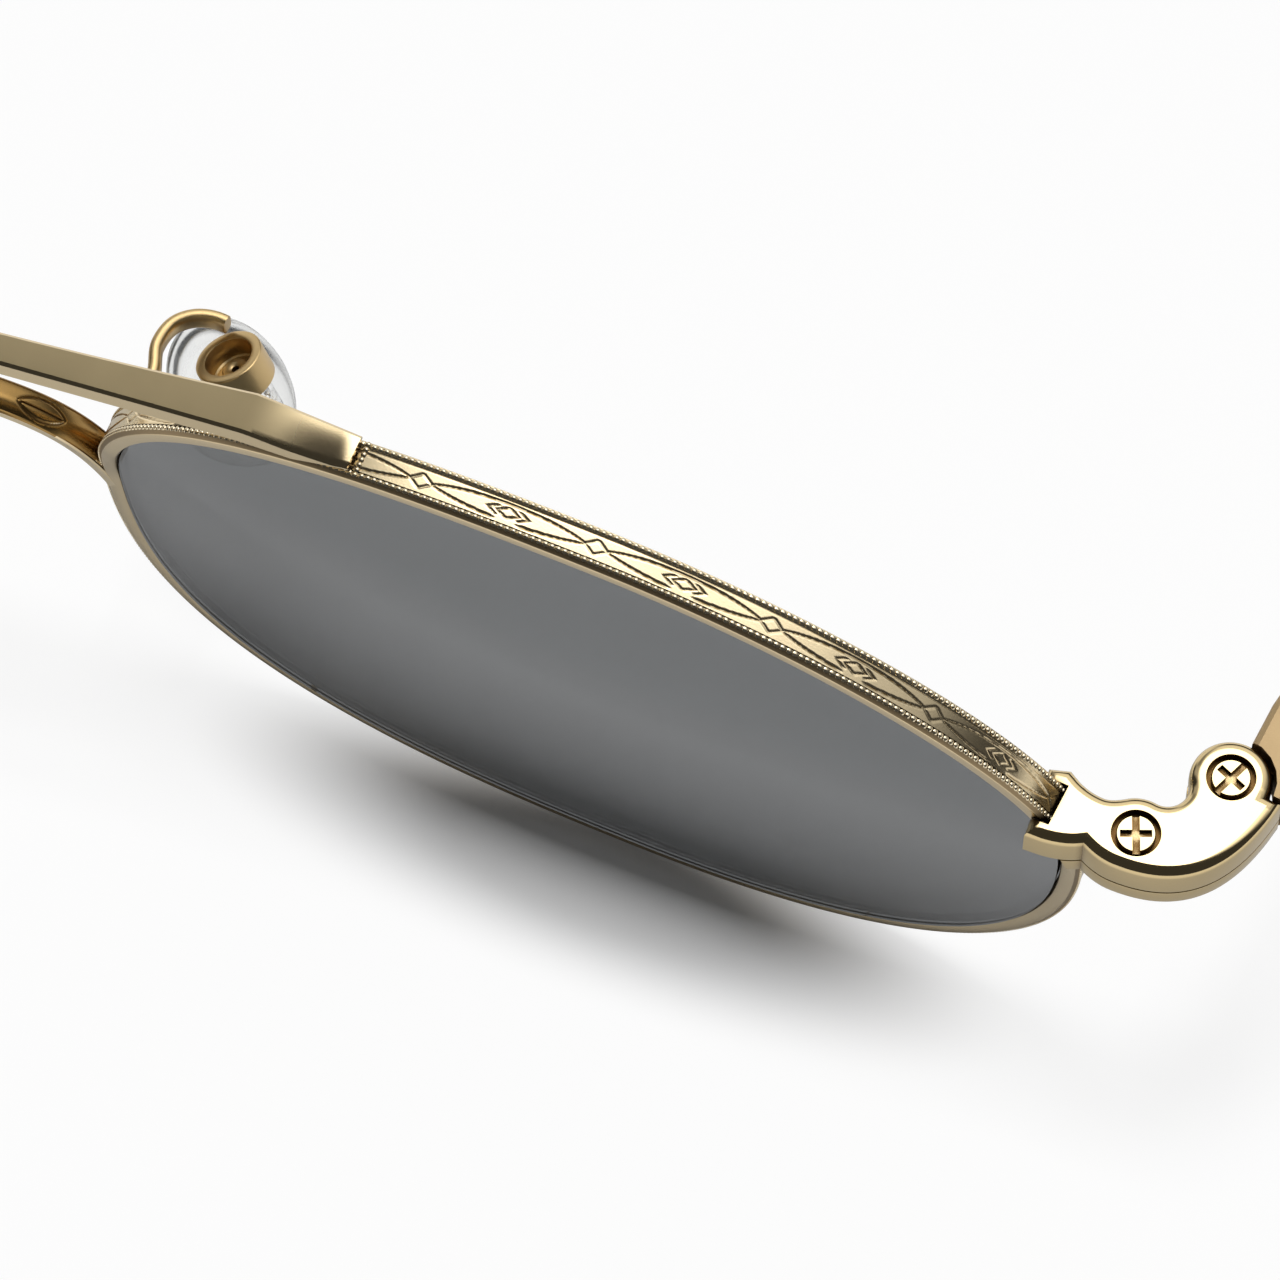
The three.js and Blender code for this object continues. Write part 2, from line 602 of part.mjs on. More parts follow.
function temple() {
  const start = shoulder.y + RUN + TEMPLE_OUTER * Math.sin(radians(SPLAY));
  const swell = [start, ...stations(BARREL_RADIUS, TEMPLE_TAPER, 5), TEMPLE_FLARE];
  const share = (along, end) => (along - BARREL_RADIUS) / (end - BARREL_RADIUS);
  const blade = swell.map((along) => {
    const halfWidth = mix(TEMPLE_END_WIDTH, TEMPLE_WIDTH, share(along, TEMPLE_TAPER)) / 2;
    const halfHeight = mix(TEMPLE_END_HEIGHT, TEMPLE_HEIGHT, share(along, TEMPLE_FLARE)) / 2;
    return templeRing(along, halfWidth, halfHeight, TEMPLE_WIDTH / 4, halfWidth - TEMPLE_WIDTH / 2);
  });
  const neck = TIP_START - 2 * TEMPLE_HEIGHT;
  blade.push(templeRing(neck, TEMPLE_WIDTH / 2, TEMPLE_HEIGHT / 2, TEMPLE_WIDTH / 4));
  blade.push(...coreRings(CORE_RADIUS, TIP_START - TEMPLE_HEIGHT / 2, coreEnd));
  const high = TEMPLE_END_HEIGHT;
  const cove = upright(BARREL_RADIUS + COVE_GAP, -high, high);
  const slotWidth = LEAF_OUTER + SEAM + TEMPLE_END_WIDTH;
  const slotLength = LEAF_LENGTH + SEAM;
  const slot = new THREE.BoxGeometry(slotWidth, slotLength, LEAF_THICKNESS + 2 * SEAM)
    .translate(LEAF_OUTER + SEAM - slotWidth / 2, slotLength / 2, (leafBottom + leafTop) / 2 - templeLevel);
  return cut(loft(blade), cove, slot);
}

function templeTip() {
  const half = TIP_WIDTH / 2;
  const share = (along) => (along - TIP_START) / (noseStart - TIP_START);
  const straight = stations(TEMPLE_STRAIGHT + bendLength, noseStart, TIP_STEPS).slice(1);
  const rings = [TIP_START, ...bendStations, ...straight].map((along) => (
    templeRing(along, half, mix(TIP_HEIGHT, TIP_END_HEIGHT, share(along)) / 2, half)
  ));
  for (const turn of [25, 45, 60, 72, 82]) {
    const round = Math.cos(radians(turn));
    const along = noseStart + TIP_NOSE * Math.sin(radians(turn));
    rings.push(templeRing(along, half * round, TIP_END_HEIGHT / 2 * round, half * round));
  }
  const bore = loft(coreRings(CORE_RADIUS + SEAM, TIP_START - TEMPLE_HEIGHT, coreEnd + SEAM));
  return cut(loft(rings), bore);
}

// Nose pad set, about the cup's middle, with y up the stem's axis and z away from the nose

const stemUp = STEM_AXIS.clone().normalize();
const stemOut = PAD_FACING.clone().negate().addScaledVector(stemUp, PAD_FACING.dot(stemUp)).normalize();
const cup = new THREE.Vector3(RIM_GAP / 2 + CUP_IN, CUP_BACK, eye.z + CUP_LEVEL);
const cupPlace = new THREE.Matrix4().makeBasis(stemUp.clone().cross(stemOut), stemUp, stemOut)
  .setPosition(cup);

const padUp = PAD_UP.clone().normalize();
const padFacing = PAD_FACING.clone().addScaledVector(padUp, -PAD_FACING.dot(padUp)).normalize();
const padMiddle = cup.clone().add(PAD_FROM_CUP);
const padPlace = new THREE.Matrix4().makeBasis(padUp.clone().cross(padFacing), padUp, padFacing)
  .setPosition(padMiddle);

function lathe(profile) {
  const points = profile.map(([radius, height]) => new THREE.Vector2(radius, height));
  return new THREE.LatheGeometry([...points, points[0].clone()], ROUND_STEPS);
}

const cupFoot = -CUP_HEIGHT / 2;
const cupFloor = cupFoot + CUP_FLOOR;

function padCup() {
  const inner = CUP_RADIUS - CUP_WALL;
  const hole = EYELET_RADIUS + SEAM;
  return lathe([
    [hole, cupFoot], [CUP_RADIUS, cupFoot], [CUP_RADIUS, CUP_HEIGHT / 2],
    [inner, CUP_HEIGHT / 2], [inner, cupFloor], [hole, cupFloor],
  ]);
}

function padEyelet() {
  const seat = cupFloor + SEAM;
  const foot = seat - EYELET_LENGTH;
  const top = seat + EYELET_FLANGE_HEIGHT;
  return lathe([
    [EYELET_BORE, foot], [EYELET_RADIUS, foot], [EYELET_RADIUS, seat],
    [EYELET_FLANGE, seat], [EYELET_FLANGE, top], [EYELET_BORE, top],
  ]);
}

function nosePad() {
  const oval = stations(0, 2 * Math.PI, OVAL_STEPS).slice(1).map((angle) => (
    new THREE.Vector2(PAD_HALF_WIDTH * Math.cos(angle), PAD_HALF_LENGTH * Math.sin(angle))
  ));
  const plate = bevelledPrism(new THREE.Shape(oval), -PAD_THICKNESS / 2, PAD_THICKNESS / 2, PAD_ROUND, 2)
    .applyMatrix4(padPlace)
    .applyMatrix4(cupPlace.clone().invert());
  const stemTop = cupFoot - RUN;
  const stem = new THREE.CylinderGeometry(STEM_RADIUS, STEM_RADIUS, STEM_LENGTH, ROUND_STEPS)
    .translate(0, stemTop - STEM_LENGTH / 2, 0);
  const neckLevel = stemTop - STEM_LENGTH + NECK_RADIUS;
  const neckStart = cup.clone().addScaledVector(stemUp, neckLevel);
  const neckLength = padMiddle.clone().sub(neckStart).dot(padFacing) / -stemOut.dot(padFacing);
  const neck = new THREE.CylinderGeometry(NECK_RADIUS, NECK_RADIUS, neckLength, ROUND_STEPS)
    .rotateX(Math.PI / 2)
    .translate(0, neckLevel, -neckLength / 2);
  const boreLength = 2 * EYELET_LENGTH;
  const boreFoot = cupFloor + SEAM - EYELET_LENGTH - RUN;
  const bore = new THREE.CylinderGeometry(EYELET_RADIUS + RUN, EYELET_RADIUS + RUN, boreLength, ROUND_STEPS)
    .translate(0, boreFoot + boreLength / 2, 0);
  return cut(join(plate, stem, neck), bore);
}

// The arm leaves the back of the rim, loops round behind the cup and meets the cup's far side.
function padArm() {
  const level = eye.z + ARM_LEVEL;
  const nasal = RIM_GAP / 2 + RIM_WALL / 2;
  const loop = [
    [-0.88, -1.3], [-1, -0.45], [-0.94, 0.32], [-0.73, 0.8], [-0.43, 1], [-0.1, 0.88], [0.1, 0.5],
  ];
  const path = new THREE.CatmullRomCurve3([
    new THREE.Vector3(nasal, RIM_DEPTH / 2, level),
    new THREE.Vector3(nasal, 2 * RIM_DEPTH, level),
    ...loop.map(([side, back]) => (
      new THREE.Vector3(cup.x + side * ARM_REACH, cup.y + back * ARM_BACK, level)
    )),
  ]);
  const up = new THREE.Vector3(0, 0, 1);
  const outline = section(ARM_THICKNESS / 2, ARM_HEIGHT / 2, ARM_THICKNESS / 4);
  const rings = stations(0, 1, ARM_STEPS).map((share) => {
    const side = up.clone().cross(path.getTangentAt(share)).normalize();
    return ring(outline, path.getPointAt(share), side, up);
  });
  const roomRadius = CUP_RADIUS + SEAM;
  const cupRoom = new THREE.CylinderGeometry(roomRadius, roomRadius, 3 * CUP_HEIGHT, ROUND_STEPS)
    .applyMatrix4(cupPlace);
  return cut(loft(rings), rimRoom(SEAM, RIM_DEPTH), cupRoom);
}

// Assembly

function piece(name, geometry, finish) {
  const mesh = new THREE.Mesh(geometry, new THREE.MeshStandardMaterial(finish));
  mesh.name = name;
  return mesh;
}

function sidePieces(side) {
  const group = new THREE.Group();
  const front = new THREE.Group();
  front.position.copy(eye);
  front.rotation.x = Math.PI / 2 + tilt;
  front.add(piece(`rim_${side}`, rim(), GOLD), piece(`lens_${side}`, lens(), GREY_LENS));
  group.add(
    front,
    piece(`upper_endpiece_${side}`, upperEndpiece(), GOLD),
    piece(`lower_endpiece_${side}`, lowerEndpiece(), GOLD),
    piece(`rim_lock_screw_${side}`, screw(lockScrew, LOCK_TURN), GOLD),
    piece(`hinge_screw_${side}`, screw(hinge, HINGE_TURN), GOLD),
    piece(`pad_arm_${side}`, padArm(), GOLD),
  );
  const pad = new THREE.Group();
  pad.name = `pad_pivot_${side}`;
  pad.applyMatrix4(cupPlace);
  pad.add(
    piece(`pad_cup_${side}`, padCup(), GOLD),
    piece(`pad_eyelet_${side}`, padEyelet(), GOLD),
    piece(`nose_pad_${side}`, nosePad(), CLEAR),
  );
  const arm = new THREE.Group();
  arm.name = `temple_pivot_${side}`;
  arm.position.set(hinge.x, hinge.y, templeLevel);
  arm.rotation.z = -radians(SPLAY);
  arm.add(
    piece(`hinge_leaf_${side}`, hingeLeaf(), GOLD),
    piece(`temple_${side}`, temple(), GOLD),
    piece(`temple_tip_${side}`, templeTip(), TORTOISE),
  );
  group.add(pad, arm);
  return group;
}

const glasses = new THREE.Group();
const left = sidePieces('left');
const right = sidePieces('right');
right.scale.x = -1;
glasses.add(left, right, piece('brow_bar', browBar(), GOLD), piece('bridge', bridge(), GOLD));

// The origin goes to the middle of the footprint, on the table.
const box = new THREE.Box3().setFromObject(glasses, true);
glasses.position.set(0, -(box.min.y + box.max.y) / 2, -box.min.z);

export default glasses;
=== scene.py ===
# %% [markdown]
# # Engraved metal sunglasses
# The glasses arrive as measured solids: rims, bars, hinges, lenses, pads and temples, each one
# already in its place. Blender adds what a machinist's model leaves out, which is the engraving and
# the rows of tiny beads on the rims, the different polishes of the metal, the glass and the light.
# Everything below works in millimetres, because that is how a pair of glasses is drawn, and turns
# into metres only when a mesh is made.

# %% Load the solids
import math

import bpy
import numpy as np
from mathutils import Matrix, Vector


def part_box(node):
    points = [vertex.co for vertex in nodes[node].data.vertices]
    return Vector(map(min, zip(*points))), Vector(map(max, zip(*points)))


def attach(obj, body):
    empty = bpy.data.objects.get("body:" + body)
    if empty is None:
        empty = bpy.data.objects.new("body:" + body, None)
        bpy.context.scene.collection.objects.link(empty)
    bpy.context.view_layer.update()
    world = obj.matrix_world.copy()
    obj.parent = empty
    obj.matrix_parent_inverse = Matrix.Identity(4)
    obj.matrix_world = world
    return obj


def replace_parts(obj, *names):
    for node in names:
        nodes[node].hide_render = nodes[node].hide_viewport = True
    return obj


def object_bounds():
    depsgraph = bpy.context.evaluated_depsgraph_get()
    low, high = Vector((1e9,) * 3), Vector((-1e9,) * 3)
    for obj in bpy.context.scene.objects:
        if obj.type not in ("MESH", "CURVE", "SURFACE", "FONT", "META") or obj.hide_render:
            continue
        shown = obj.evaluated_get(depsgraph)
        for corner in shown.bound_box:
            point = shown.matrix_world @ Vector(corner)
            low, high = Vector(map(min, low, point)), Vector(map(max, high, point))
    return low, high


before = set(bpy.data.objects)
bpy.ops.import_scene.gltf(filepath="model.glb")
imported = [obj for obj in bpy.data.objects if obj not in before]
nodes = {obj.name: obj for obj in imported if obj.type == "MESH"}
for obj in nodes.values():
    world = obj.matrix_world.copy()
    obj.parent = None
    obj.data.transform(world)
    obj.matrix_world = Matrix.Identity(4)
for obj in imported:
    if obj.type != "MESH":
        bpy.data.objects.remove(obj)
cad_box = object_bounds()
MM = 0.001
print("solids:", len(nodes), "box in mm:", [[round(v / MM, 2) for v in corner] for corner in cad_box])

# %% [markdown]
# ## Where the front stands
# The front of a pair of glasses is one leaning plane. Every ornament on it is easiest to describe
# in that plane: how far across from the lens centre, how far up, and how far behind the front face.
# The rim itself is a superellipse whose four quarters have their own fullness. The same numbers as
# in the solids are repeated here, and the plane's place is read from the left rim's box.

# %% The lens plane and the rim's outline
RIM_NASAL, RIM_TEMPORAL, RIM_TOP, RIM_BOTTOM = 26.3, 24.5, 17.0, 27.5
TOP_FULLNESS = {"nasal": 2.57, "temporal": 1.96}
BOTTOM_FULLNESS = {"nasal": 2.55, "temporal": 2.23}
RIM_WALL, RIM_DEPTH, SEAM = 1.05, 1.65, 0.1
LEAN = math.radians(6)

rim_low = np.array(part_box("rim_left")[0]) / MM
eye = rim_low + [RIM_NASAL, RIM_TOP * math.sin(LEAN), RIM_BOTTOM * math.cos(LEAN)]


def from_lens_plane(across, up, back):
    """Millimetres in the leaning plane as points in space."""
    return np.stack([
        eye[0] + across,
        eye[1] - up * math.sin(LEAN) + back * math.cos(LEAN),
        eye[2] + up * math.cos(LEAN) + back * math.sin(LEAN),
    ], -1)


def unit(vectors):
    """The same directions with length 1."""
    return np.asarray(vectors, float) / np.linalg.norm(vectors, axis=-1, keepdims=True)


def rim_outline(angles):
    """Points of the rim's outer edge and the outward directions there."""
    across, up = np.cos(angles), np.sin(angles)
    nasal, low = across < 0, up < 0
    width = np.where(nasal, RIM_NASAL, RIM_TEMPORAL)
    height = np.where(low, RIM_BOTTOM, RIM_TOP)
    top = np.where(nasal, TOP_FULLNESS["nasal"], TOP_FULLNESS["temporal"])
    bottom = np.where(nasal, BOTTOM_FULLNESS["nasal"], BOTTOM_FULLNESS["temporal"])
    power = 2 / np.where(low, bottom, top)
    points = np.stack([
        width * np.sign(across) * np.abs(across) ** power,
        height * np.sign(up) * np.abs(up) ** power,
    ], -1)
    outward = np.stack([
        np.sign(across) * np.abs(across) ** (2 - power) / width,
        np.sign(up) * np.abs(up) ** (2 - power) / height,
    ], -1)
    return points, unit(outward)


def lengths_along(path):
    """How far along a path each of its points lies."""
    return np.concatenate([[0], np.cumsum(np.linalg.norm(np.diff(path, axis=0), axis=1))])


fine_angles = np.linspace(0, 2 * math.pi, 40001)
fine_points, _ = rim_outline(fine_angles)
fine_lengths = lengths_along(fine_points)
rim_length = fine_lengths[-1]


def rim_stations(along):
    """The outline at given lengths round the rim, counted from the temple side upwards."""
    return rim_outline(np.interp(along % rim_length, fine_lengths, fine_angles))


print("lens centre:", eye.round(3), "rim length:", round(rim_length, 2), "mm")

# %% [markdown]
# ## Sums on shader sockets
# A material is a graph of small sums. Wiring each one by hand hides the idea, so one small class
# wraps a socket: plus, minus and times on it add Math nodes, and every other node comes from its
# `node` method. Colours go through Mix nodes, because a Math node would turn them grey.

# %% A socket that can be calculated with
class Shade:
    def __init__(self, tree, socket=None):
        self.tree, self.socket = tree, socket

    def node(self, kind, settings=(), sockets=(), out=0):
        made = self.tree.nodes.new(kind)
        for name, value in dict(settings).items():
            if name == "stops":
                elements = made.color_ramp.elements
                while len(elements) < len(value):
                    elements.new(1)
                for element, (place, colour) in zip(elements, value):
                    element.position, element.color = place, colour
            else:
                setattr(made, name, value)
        for name, value in dict(sockets).items():
            self.feed(made.inputs[name], value)
        return Shade(self.tree, made.outputs[out])

    def feed(self, target, value):
        if isinstance(value, Shade):
            self.tree.links.new(value.socket, target)
        else:
            target.default_value = value

    def maths(self, operation, first, second):
        return self.node("ShaderNodeMath", {"operation": operation}, {0: first, 1: second})

    def __add__(self, other):
        return self.maths("ADD", self, other)

    def __sub__(self, other):
        return self.maths("SUBTRACT", self, other)

    def __rsub__(self, other):
        return self.maths("SUBTRACT", other, self)

    def __mul__(self, other):
        return self.maths("MULTIPLY", self, other)

    __radd__, __rmul__ = __add__, __mul__

    def between(self, first, second):
        """A colour that goes from the first to the second as this value goes from 0 to 1."""
        settings = {"data_type": "RGBA", "clamp_factor": True}
        return self.node("ShaderNodeMix", settings, {0: self, 6: first, 7: second}, out=2)


def finish(name, **fixed):
    """A new material: its shade for making nodes, its main shader, and values that stay the same."""
    material = bpy.data.materials.new(name)
    material.use_nodes = True
    tree = material.node_tree
    shader = tree.nodes["Principled BSDF"]
    for socket, value in fixed.items():
        shader.inputs[socket.replace("_", " ")].default_value = value
    return material, Shade(tree), shader.inputs


def grain(shade, scale, detail=3.0, stretch=(1, 1, 1)):
    """Noise fixed to the object, so many grains to the metre."""
    place = shade.node("ShaderNodeTexCoord", out="Object")
    place = shade.node("ShaderNodeMapping", sockets={"Vector": place, "Scale": stretch})
    return shade.node("ShaderNodeTexNoise", sockets={"Vector": place, "Scale": scale, "Detail": detail})


def bump(shade, height, distance, strength=1.0):
    sockets = {"Height": height, "Distance": distance, "Strength": strength}
    return shade.node("ShaderNodeBump", sockets=sockets, out="Normal")


print("shader sums ready")

# %% [markdown]
# ## The gold
# The frame is pale champagne gold plate, and the same plate looks very different by its polish. The
# hinge plates are mirrors, the rims are bright with dark tarnish left in the cuts, and the top of the brow
# bar is satin, its colour painted darker as shade. The top of the bridge is painted dark amber, as the
# shade under the brow bar. One function makes them all from a tone, a roughness and a grit. Faint cloudy
# wear in the roughness keeps a mirror from looking like a render, and an Ambient Occlusion node paints
# shade into narrow gaps, such as a screw's slot, by turning their colour dark brown.

# %% Gold finishes
GOLD = (0.7, 0.56, 0.335)
RICH_GOLD = (0.68, 0.53, 0.285)
# Painted shade: the brow bar's satin top is given this much darker gold.
SATIN_SHADE_GOLD = (0.28, 0.224, 0.128)
PALE_GOLD = (0.95, 0.82, 0.58)
LIGHT_GOLD = (0.9, 0.74, 0.47)
WARM_GOLD = (0.62, 0.45, 0.22)
BRUSHED_GOLD = (0.55, 0.4, 0.22)
# Painted shade: the bridge's top under the brow bar is given this dark amber gold.
BRIDGE_SHADOW_GOLD = (0.36, 0.22, 0.075)
# dark brown for patina in the engraved strokes and for painted shade in gaps and on the rims' chamfers, lips
# and gutters
PATINA_AND_SHADE_BROWN = (0.13, 0.07, 0.022, 1)
POLISHED = 0.17           # roughness of plain bright plate
GAP_REACH = 0.45          # millimetres within which a gap looks narrow


def gold(name, roughness, wear, grit, tone=GOLD, gaps=(0.6, 0.3), with_patina_and_shade=False, polished=False):
    material, shade, shader = finish(name, Metallic=1.0)
    cloud = grain(shade, 420, 4)
    lighter, darker = ([share * level for share in tone] + [1] for level in (1.03, 0.97))
    colour = cloud.between(lighter, darker)
    shine = roughness + (cloud - 0.5) * wear
    if polished:
        # Along the bar's ends the painted shade of the satin fades back to plain gold as the polish rises.
        share = shade.node("ShaderNodeAttribute", {"attribute_name": "polish"}, out="Fac")
        colour = share.between(colour, (*GOLD, 1))
        shine = shine + share * (POLISHED - roughness)
    # The Ambient Occlusion node paints shade: narrow gaps get a dark brown colour.
    reach = {"Distance": GAP_REACH * MM}
    open_sky = shade.node("ShaderNodeAmbientOcclusion", {"samples": 6}, reach, out="AO")
    levels = {"Value": open_sky, 1: gaps[0], 2: gaps[1], 3: 0.0, 4: 1.0}
    cut = shade.node("ShaderNodeMapRange", sockets=levels)
    # The rims' attribute carries patina in the strokes and painted shade on their chamfers, lips and
    # gutters.
    if with_patina_and_shade:
        patina_and_rim_shade = shade.node("ShaderNodeAttribute", {"attribute_name": "cut"}, out="Fac")
        cut = shade.maths("MAXIMUM", cut, patina_and_rim_shade)
    colour = cut.between(colour, PATINA_AND_SHADE_BROWN)
    shine = shine + cut * 0.25
    shade.feed(shader["Base Color"], colour)
    shade.feed(shader["Roughness"], shine)
    shade.feed(shader["Normal"], bump(shade, grain(shade, 9000, 2), grit * MM))
    return material


# Each finish paints shade into narrow gaps through its Ambient Occlusion levels.
mirror_gold = gold("mirror_gold", 0.09, 0.05, 0.0006, tone=RICH_GOLD, gaps=(0.95, 0.68))
bright_gold = gold("bright_gold", POLISHED, 0.08, 0.0012)
engraved_gold = gold("engraved_gold", 0.2, 0.08, 0.0015, tone=LIGHT_GOLD, gaps=(0.35, 0.1), with_patina_and_shade=True)
bead_gold = gold("bead_gold", 0.26, 0.06, 0.001, tone=PALE_GOLD, gaps=(0.2, 0.02))
# The bridge top's dark amber is painted shade.
bridge_shadow_gold = gold("bridge_shadow_gold", 0.24, 0.08, 0.002, tone=BRIDGE_SHADOW_GOLD, with_patina_and_shade=True)
soft_gold = gold("soft_gold", 0.34, 0.08, 0.004, tone=WARM_GOLD)
brushed_gold = gold("brushed_gold", 0.52, 0.06, 0.006, tone=BRUSHED_GOLD)
# The satin top's dark tone is painted shade.
satin_shade_gold = gold("satin_shade_gold", 0.52, 0.06, 0.0012, tone=SATIN_SHADE_GOLD, polished=True)
print("gold finishes:", [m.name for m in bpy.data.materials if m.name.endswith("_gold")])

# %% [markdown]
# ## Meshes from arrays
# Fine repeated ornament is quicker to calculate than to draw. Most pieces here are a grid of points,
# one row for each step along the piece and one column for each corner of its cross-section, closed
# into a tube. A helper makes the mesh, smooths what is round and keeps what is sharp.

# %% Grids, beads and mesh objects
SIDES = ("left", "right")


def whole_turn(count, start=0.0):
    """Angles at even steps round a circle."""
    return start + np.linspace(0, 2 * math.pi, count, endpoint=False)


def tube(rows, columns, closed):
    """Quads over a grid of points, wrapped across, and along too if it is closed."""
    row = np.arange(rows if closed else rows - 1)[:, None]
    column = np.arange(columns)[None, :]
    ahead, aside = (row + 1) % rows, (column + 1) % columns
    here, there = row * columns, ahead * columns
    corners = [here + column, here + aside, there + aside, there + column]
    faces = np.stack([c + 0 * row for c in corners], -1).reshape(-1, 4).tolist()
    if not closed:
        faces.append(list(range(columns))[::-1])
        faces.append(list(range((rows - 1) * columns, rows * columns)))
    return faces


def in_scene(name, data):
    made = bpy.data.objects.new(name, data)
    bpy.context.scene.collection.objects.link(made)
    return made


def mesh_object(name, points, faces, scale=MM):
    mesh = bpy.data.meshes.new(name)
    mesh.from_pydata((np.asarray(points) * scale).tolist(), [], faces)
    return in_scene(name, mesh)


def smoothed(mesh, sharp):
    """Shade a mesh smooth, apart from edges that turn by more than this many degrees."""
    mesh.shade_smooth()
    mesh.set_sharp_from_angle(angle=math.radians(sharp))


def piece(name, points, faces, materials, body="front", slot="gold", sharp=35):
    made = mesh_object(name, points, faces)
    for material in materials:
        made.data.materials.append(material)
    smoothed(made.data, sharp)
    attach(made, body)
    return made


def store(made, name, values):
    """Keep a value for every point of a mesh, for its material to read."""
    attribute = made.data.attributes.new(name, "FLOAT", "POINT")
    attribute.data.foreach_set("value", np.ravel(values).astype(np.float32))


def on_side(side, shape):
    """A mesh as it was drawn for the left, or mirrored for the right."""
    points, faces = shape
    if side == "left":
        return points, faces
    return np.asarray(points) * [-1, 1, 1], [face[::-1] for face in faces]


def shifted(faces, by):
    """The same faces for points that come later in a list."""
    return [[corner + by for corner in face] for face in faces]


def beads(centres, facing, radius, flat, around=8, levels=4):
    """Small balls, flattened along their facing, as one list of points and faces."""
    turn = whole_turn(around)
    tilt = np.linspace(0, math.pi, levels + 1)[1:-1]
    ball = [[math.sin(t) * math.cos(a), math.sin(t) * math.sin(a), math.cos(t)] for t in tilt for a in turn]
    ball = np.array([*ball, [0, 0, 1], [0, 0, -1]])
    north, south = len(ball) - 2, len(ball) - 1
    faces = []
    for level in range(levels - 2):
        for step in range(around):
            a, b = level * around + step, level * around + (step + 1) % around
            faces.append([a, a + around, b + around, b])
    last = (levels - 2) * around
    for step in range(around):
        after = (step + 1) % around
        faces += [[north, step, after], [south, last + after, last + step]]
    rise = np.einsum("bk,nk->nb", ball, facing)[:, :, None] * np.asarray(facing)[:, None]
    points = (np.asarray(centres)[:, None] + radius * (ball[None] - (1 - flat) * rise)).reshape(-1, 3)
    return points, [face for copy in range(len(centres)) for face in shifted(faces, len(ball) * copy)]


print("mesh helpers ready")

# %% [markdown]
# ## Engraved rims
# The outside of each rim is a flat band that a roller engraved before the wire was bent: pointed
# leaves in a row, a small diamond where two leaves meet and another in the middle of each leaf. The
# pattern could be a bump texture, but the strokes are real cuts that catch the light on both of
# their walls, so they are cut into the mesh. The depth is kept as an attribute for the tarnish.

# %% The engraver's strokes
REPEAT = 8.8              # junction to junction
FIRST_JUNCTION = 14.96    # along the rim, from the temple side upwards
BAND_HALF = 0.445
LEAF_HALF = 3.85
STROKE_DEPTH = 0.068
FINE_LINE, JOINT_LINE = 0.038, 0.04
MIDDLE_DIAMOND, CHEVRON, JOINT_DIAMOND = (0.55, 0.22), (1.02, 0.42), (0.56, 0.3)    # half length and height


def stroke(distance, half_width):
    """A V-shaped cut: 1 along its middle, 0 at its edges."""
    return np.clip(1 - np.abs(distance) / np.maximum(half_width, 1e-3), 0, 1)


def diamond(along, across, half_length, half_height):
    """Distance from the outline of a diamond."""
    slope = math.hypot(1 / half_length, 1 / half_height)
    return (np.abs(along) / half_length + np.abs(across) / half_height - 1) / slope


def engraving(along, across):
    """Depth of the pattern, from 0 to 1, at places along the rim and across from the band's middle."""
    from_junction = (along - FIRST_JUNCTION + REPEAT / 2) % REPEAT - REPEAT / 2
    from_middle = (along - FIRST_JUNCTION) % REPEAT - REPEAT / 2
    share = np.clip(1 - (from_middle / LEAF_HALF) ** 2, 0, 1)
    arc = 0.36 * share ** 0.8
    rear = stroke(across - arc, 0.027 + 0.038 * share) * (share > 0)
    gap = np.clip((np.abs(from_middle) - 0.5) / 0.3, 0, 1)
    swell = np.sqrt(np.clip(share * gap, 0, 1))
    front = stroke(across + arc, 0.023 + 0.04 * swell) * gap * (share > 0)
    middle = stroke(diamond(from_middle, across, *MIDDLE_DIAMOND), FINE_LINE)
    chevron = stroke(diamond(from_middle, across, *CHEVRON), FINE_LINE) * (np.abs(across) < 0.2)
    joint = stroke(diamond(from_junction, across, *JOINT_DIAMOND), JOINT_LINE)
    return np.max([rear, front, middle, chevron, joint], axis=0)


print("leaf every", REPEAT, "mm,", round(rim_length / REPEAT, 1), "leaves round a rim")

# %% [markdown]
# The wire's cross-section is a list of corners: a steep chamfer, a seat for each row of beads, a narrow
# gutter, the band between, then the back, the groove that holds the lens, and the front. Sweeping it
# round the outline gives one closed skin. The band has extra columns, so that the strokes are sharp.
# Above the lens the wire is deeper, so its front stands out there. The chamfer, the front lip and the
# gutters beside the beads are painted darker as shade, and the strokes are darkened as patina.

# %% Sweep the wire round both rims
STATIONS = 2000
BROW_REACH = 0.35         # how far the front stands out above the lens, where the wire is deepest
BROW_RISE = 6.0           # height over which it gets there
# The strokes get patina; the gutters, the lip and the chamfer get painted shade.
STROKE_STAIN, GUTTER_SHADE, LIP_SHADE, CHAMFER_SHADE = 0.4, 0.45, 0.22, 0.75


def smooth(value):
    """Rises softly from 0 to 1, and stays at both ends."""
    share = np.clip(value, 0, 1)
    return share ** 2 * (3 - 2 * share)


def brow_reach(up):
    return BROW_REACH * smooth(up / BROW_RISE)


band_back = RIM_DEPTH / 2 + np.linspace(-BAND_HALF, BAND_HALF, 25)
wire = [(-0.34, 0.0), (-0.3, 0.012), (-0.27, 0.035), (-0.11, 0.165), (-0.09, 0.19), (-0.09, 0.32)]
chamfer = slice(2, 4)
wire += [(-0.2, 0.345), (-0.2, 0.36), (-0.07, 0.375)]
band_first = len(wire)
wire += [(-0.05, back) for back in band_back]
band_last = len(wire)
wire += [(-0.06, 1.29), (-0.1, 1.305), (-0.1, 1.34), (-0.09, 1.36), (-0.09, 1.6), (-0.16, 1.635)]
wire += [(-0.26, 1.65), (-0.97, 1.65), (-1.05, 1.57), (-1.05, 1.24), (-0.6, 1.22), (-0.6, 0.43)]
wire += [(-1.05, 0.41), (-1.05, 0.08), (-0.97, 0.0)]
wire = np.array(wire)
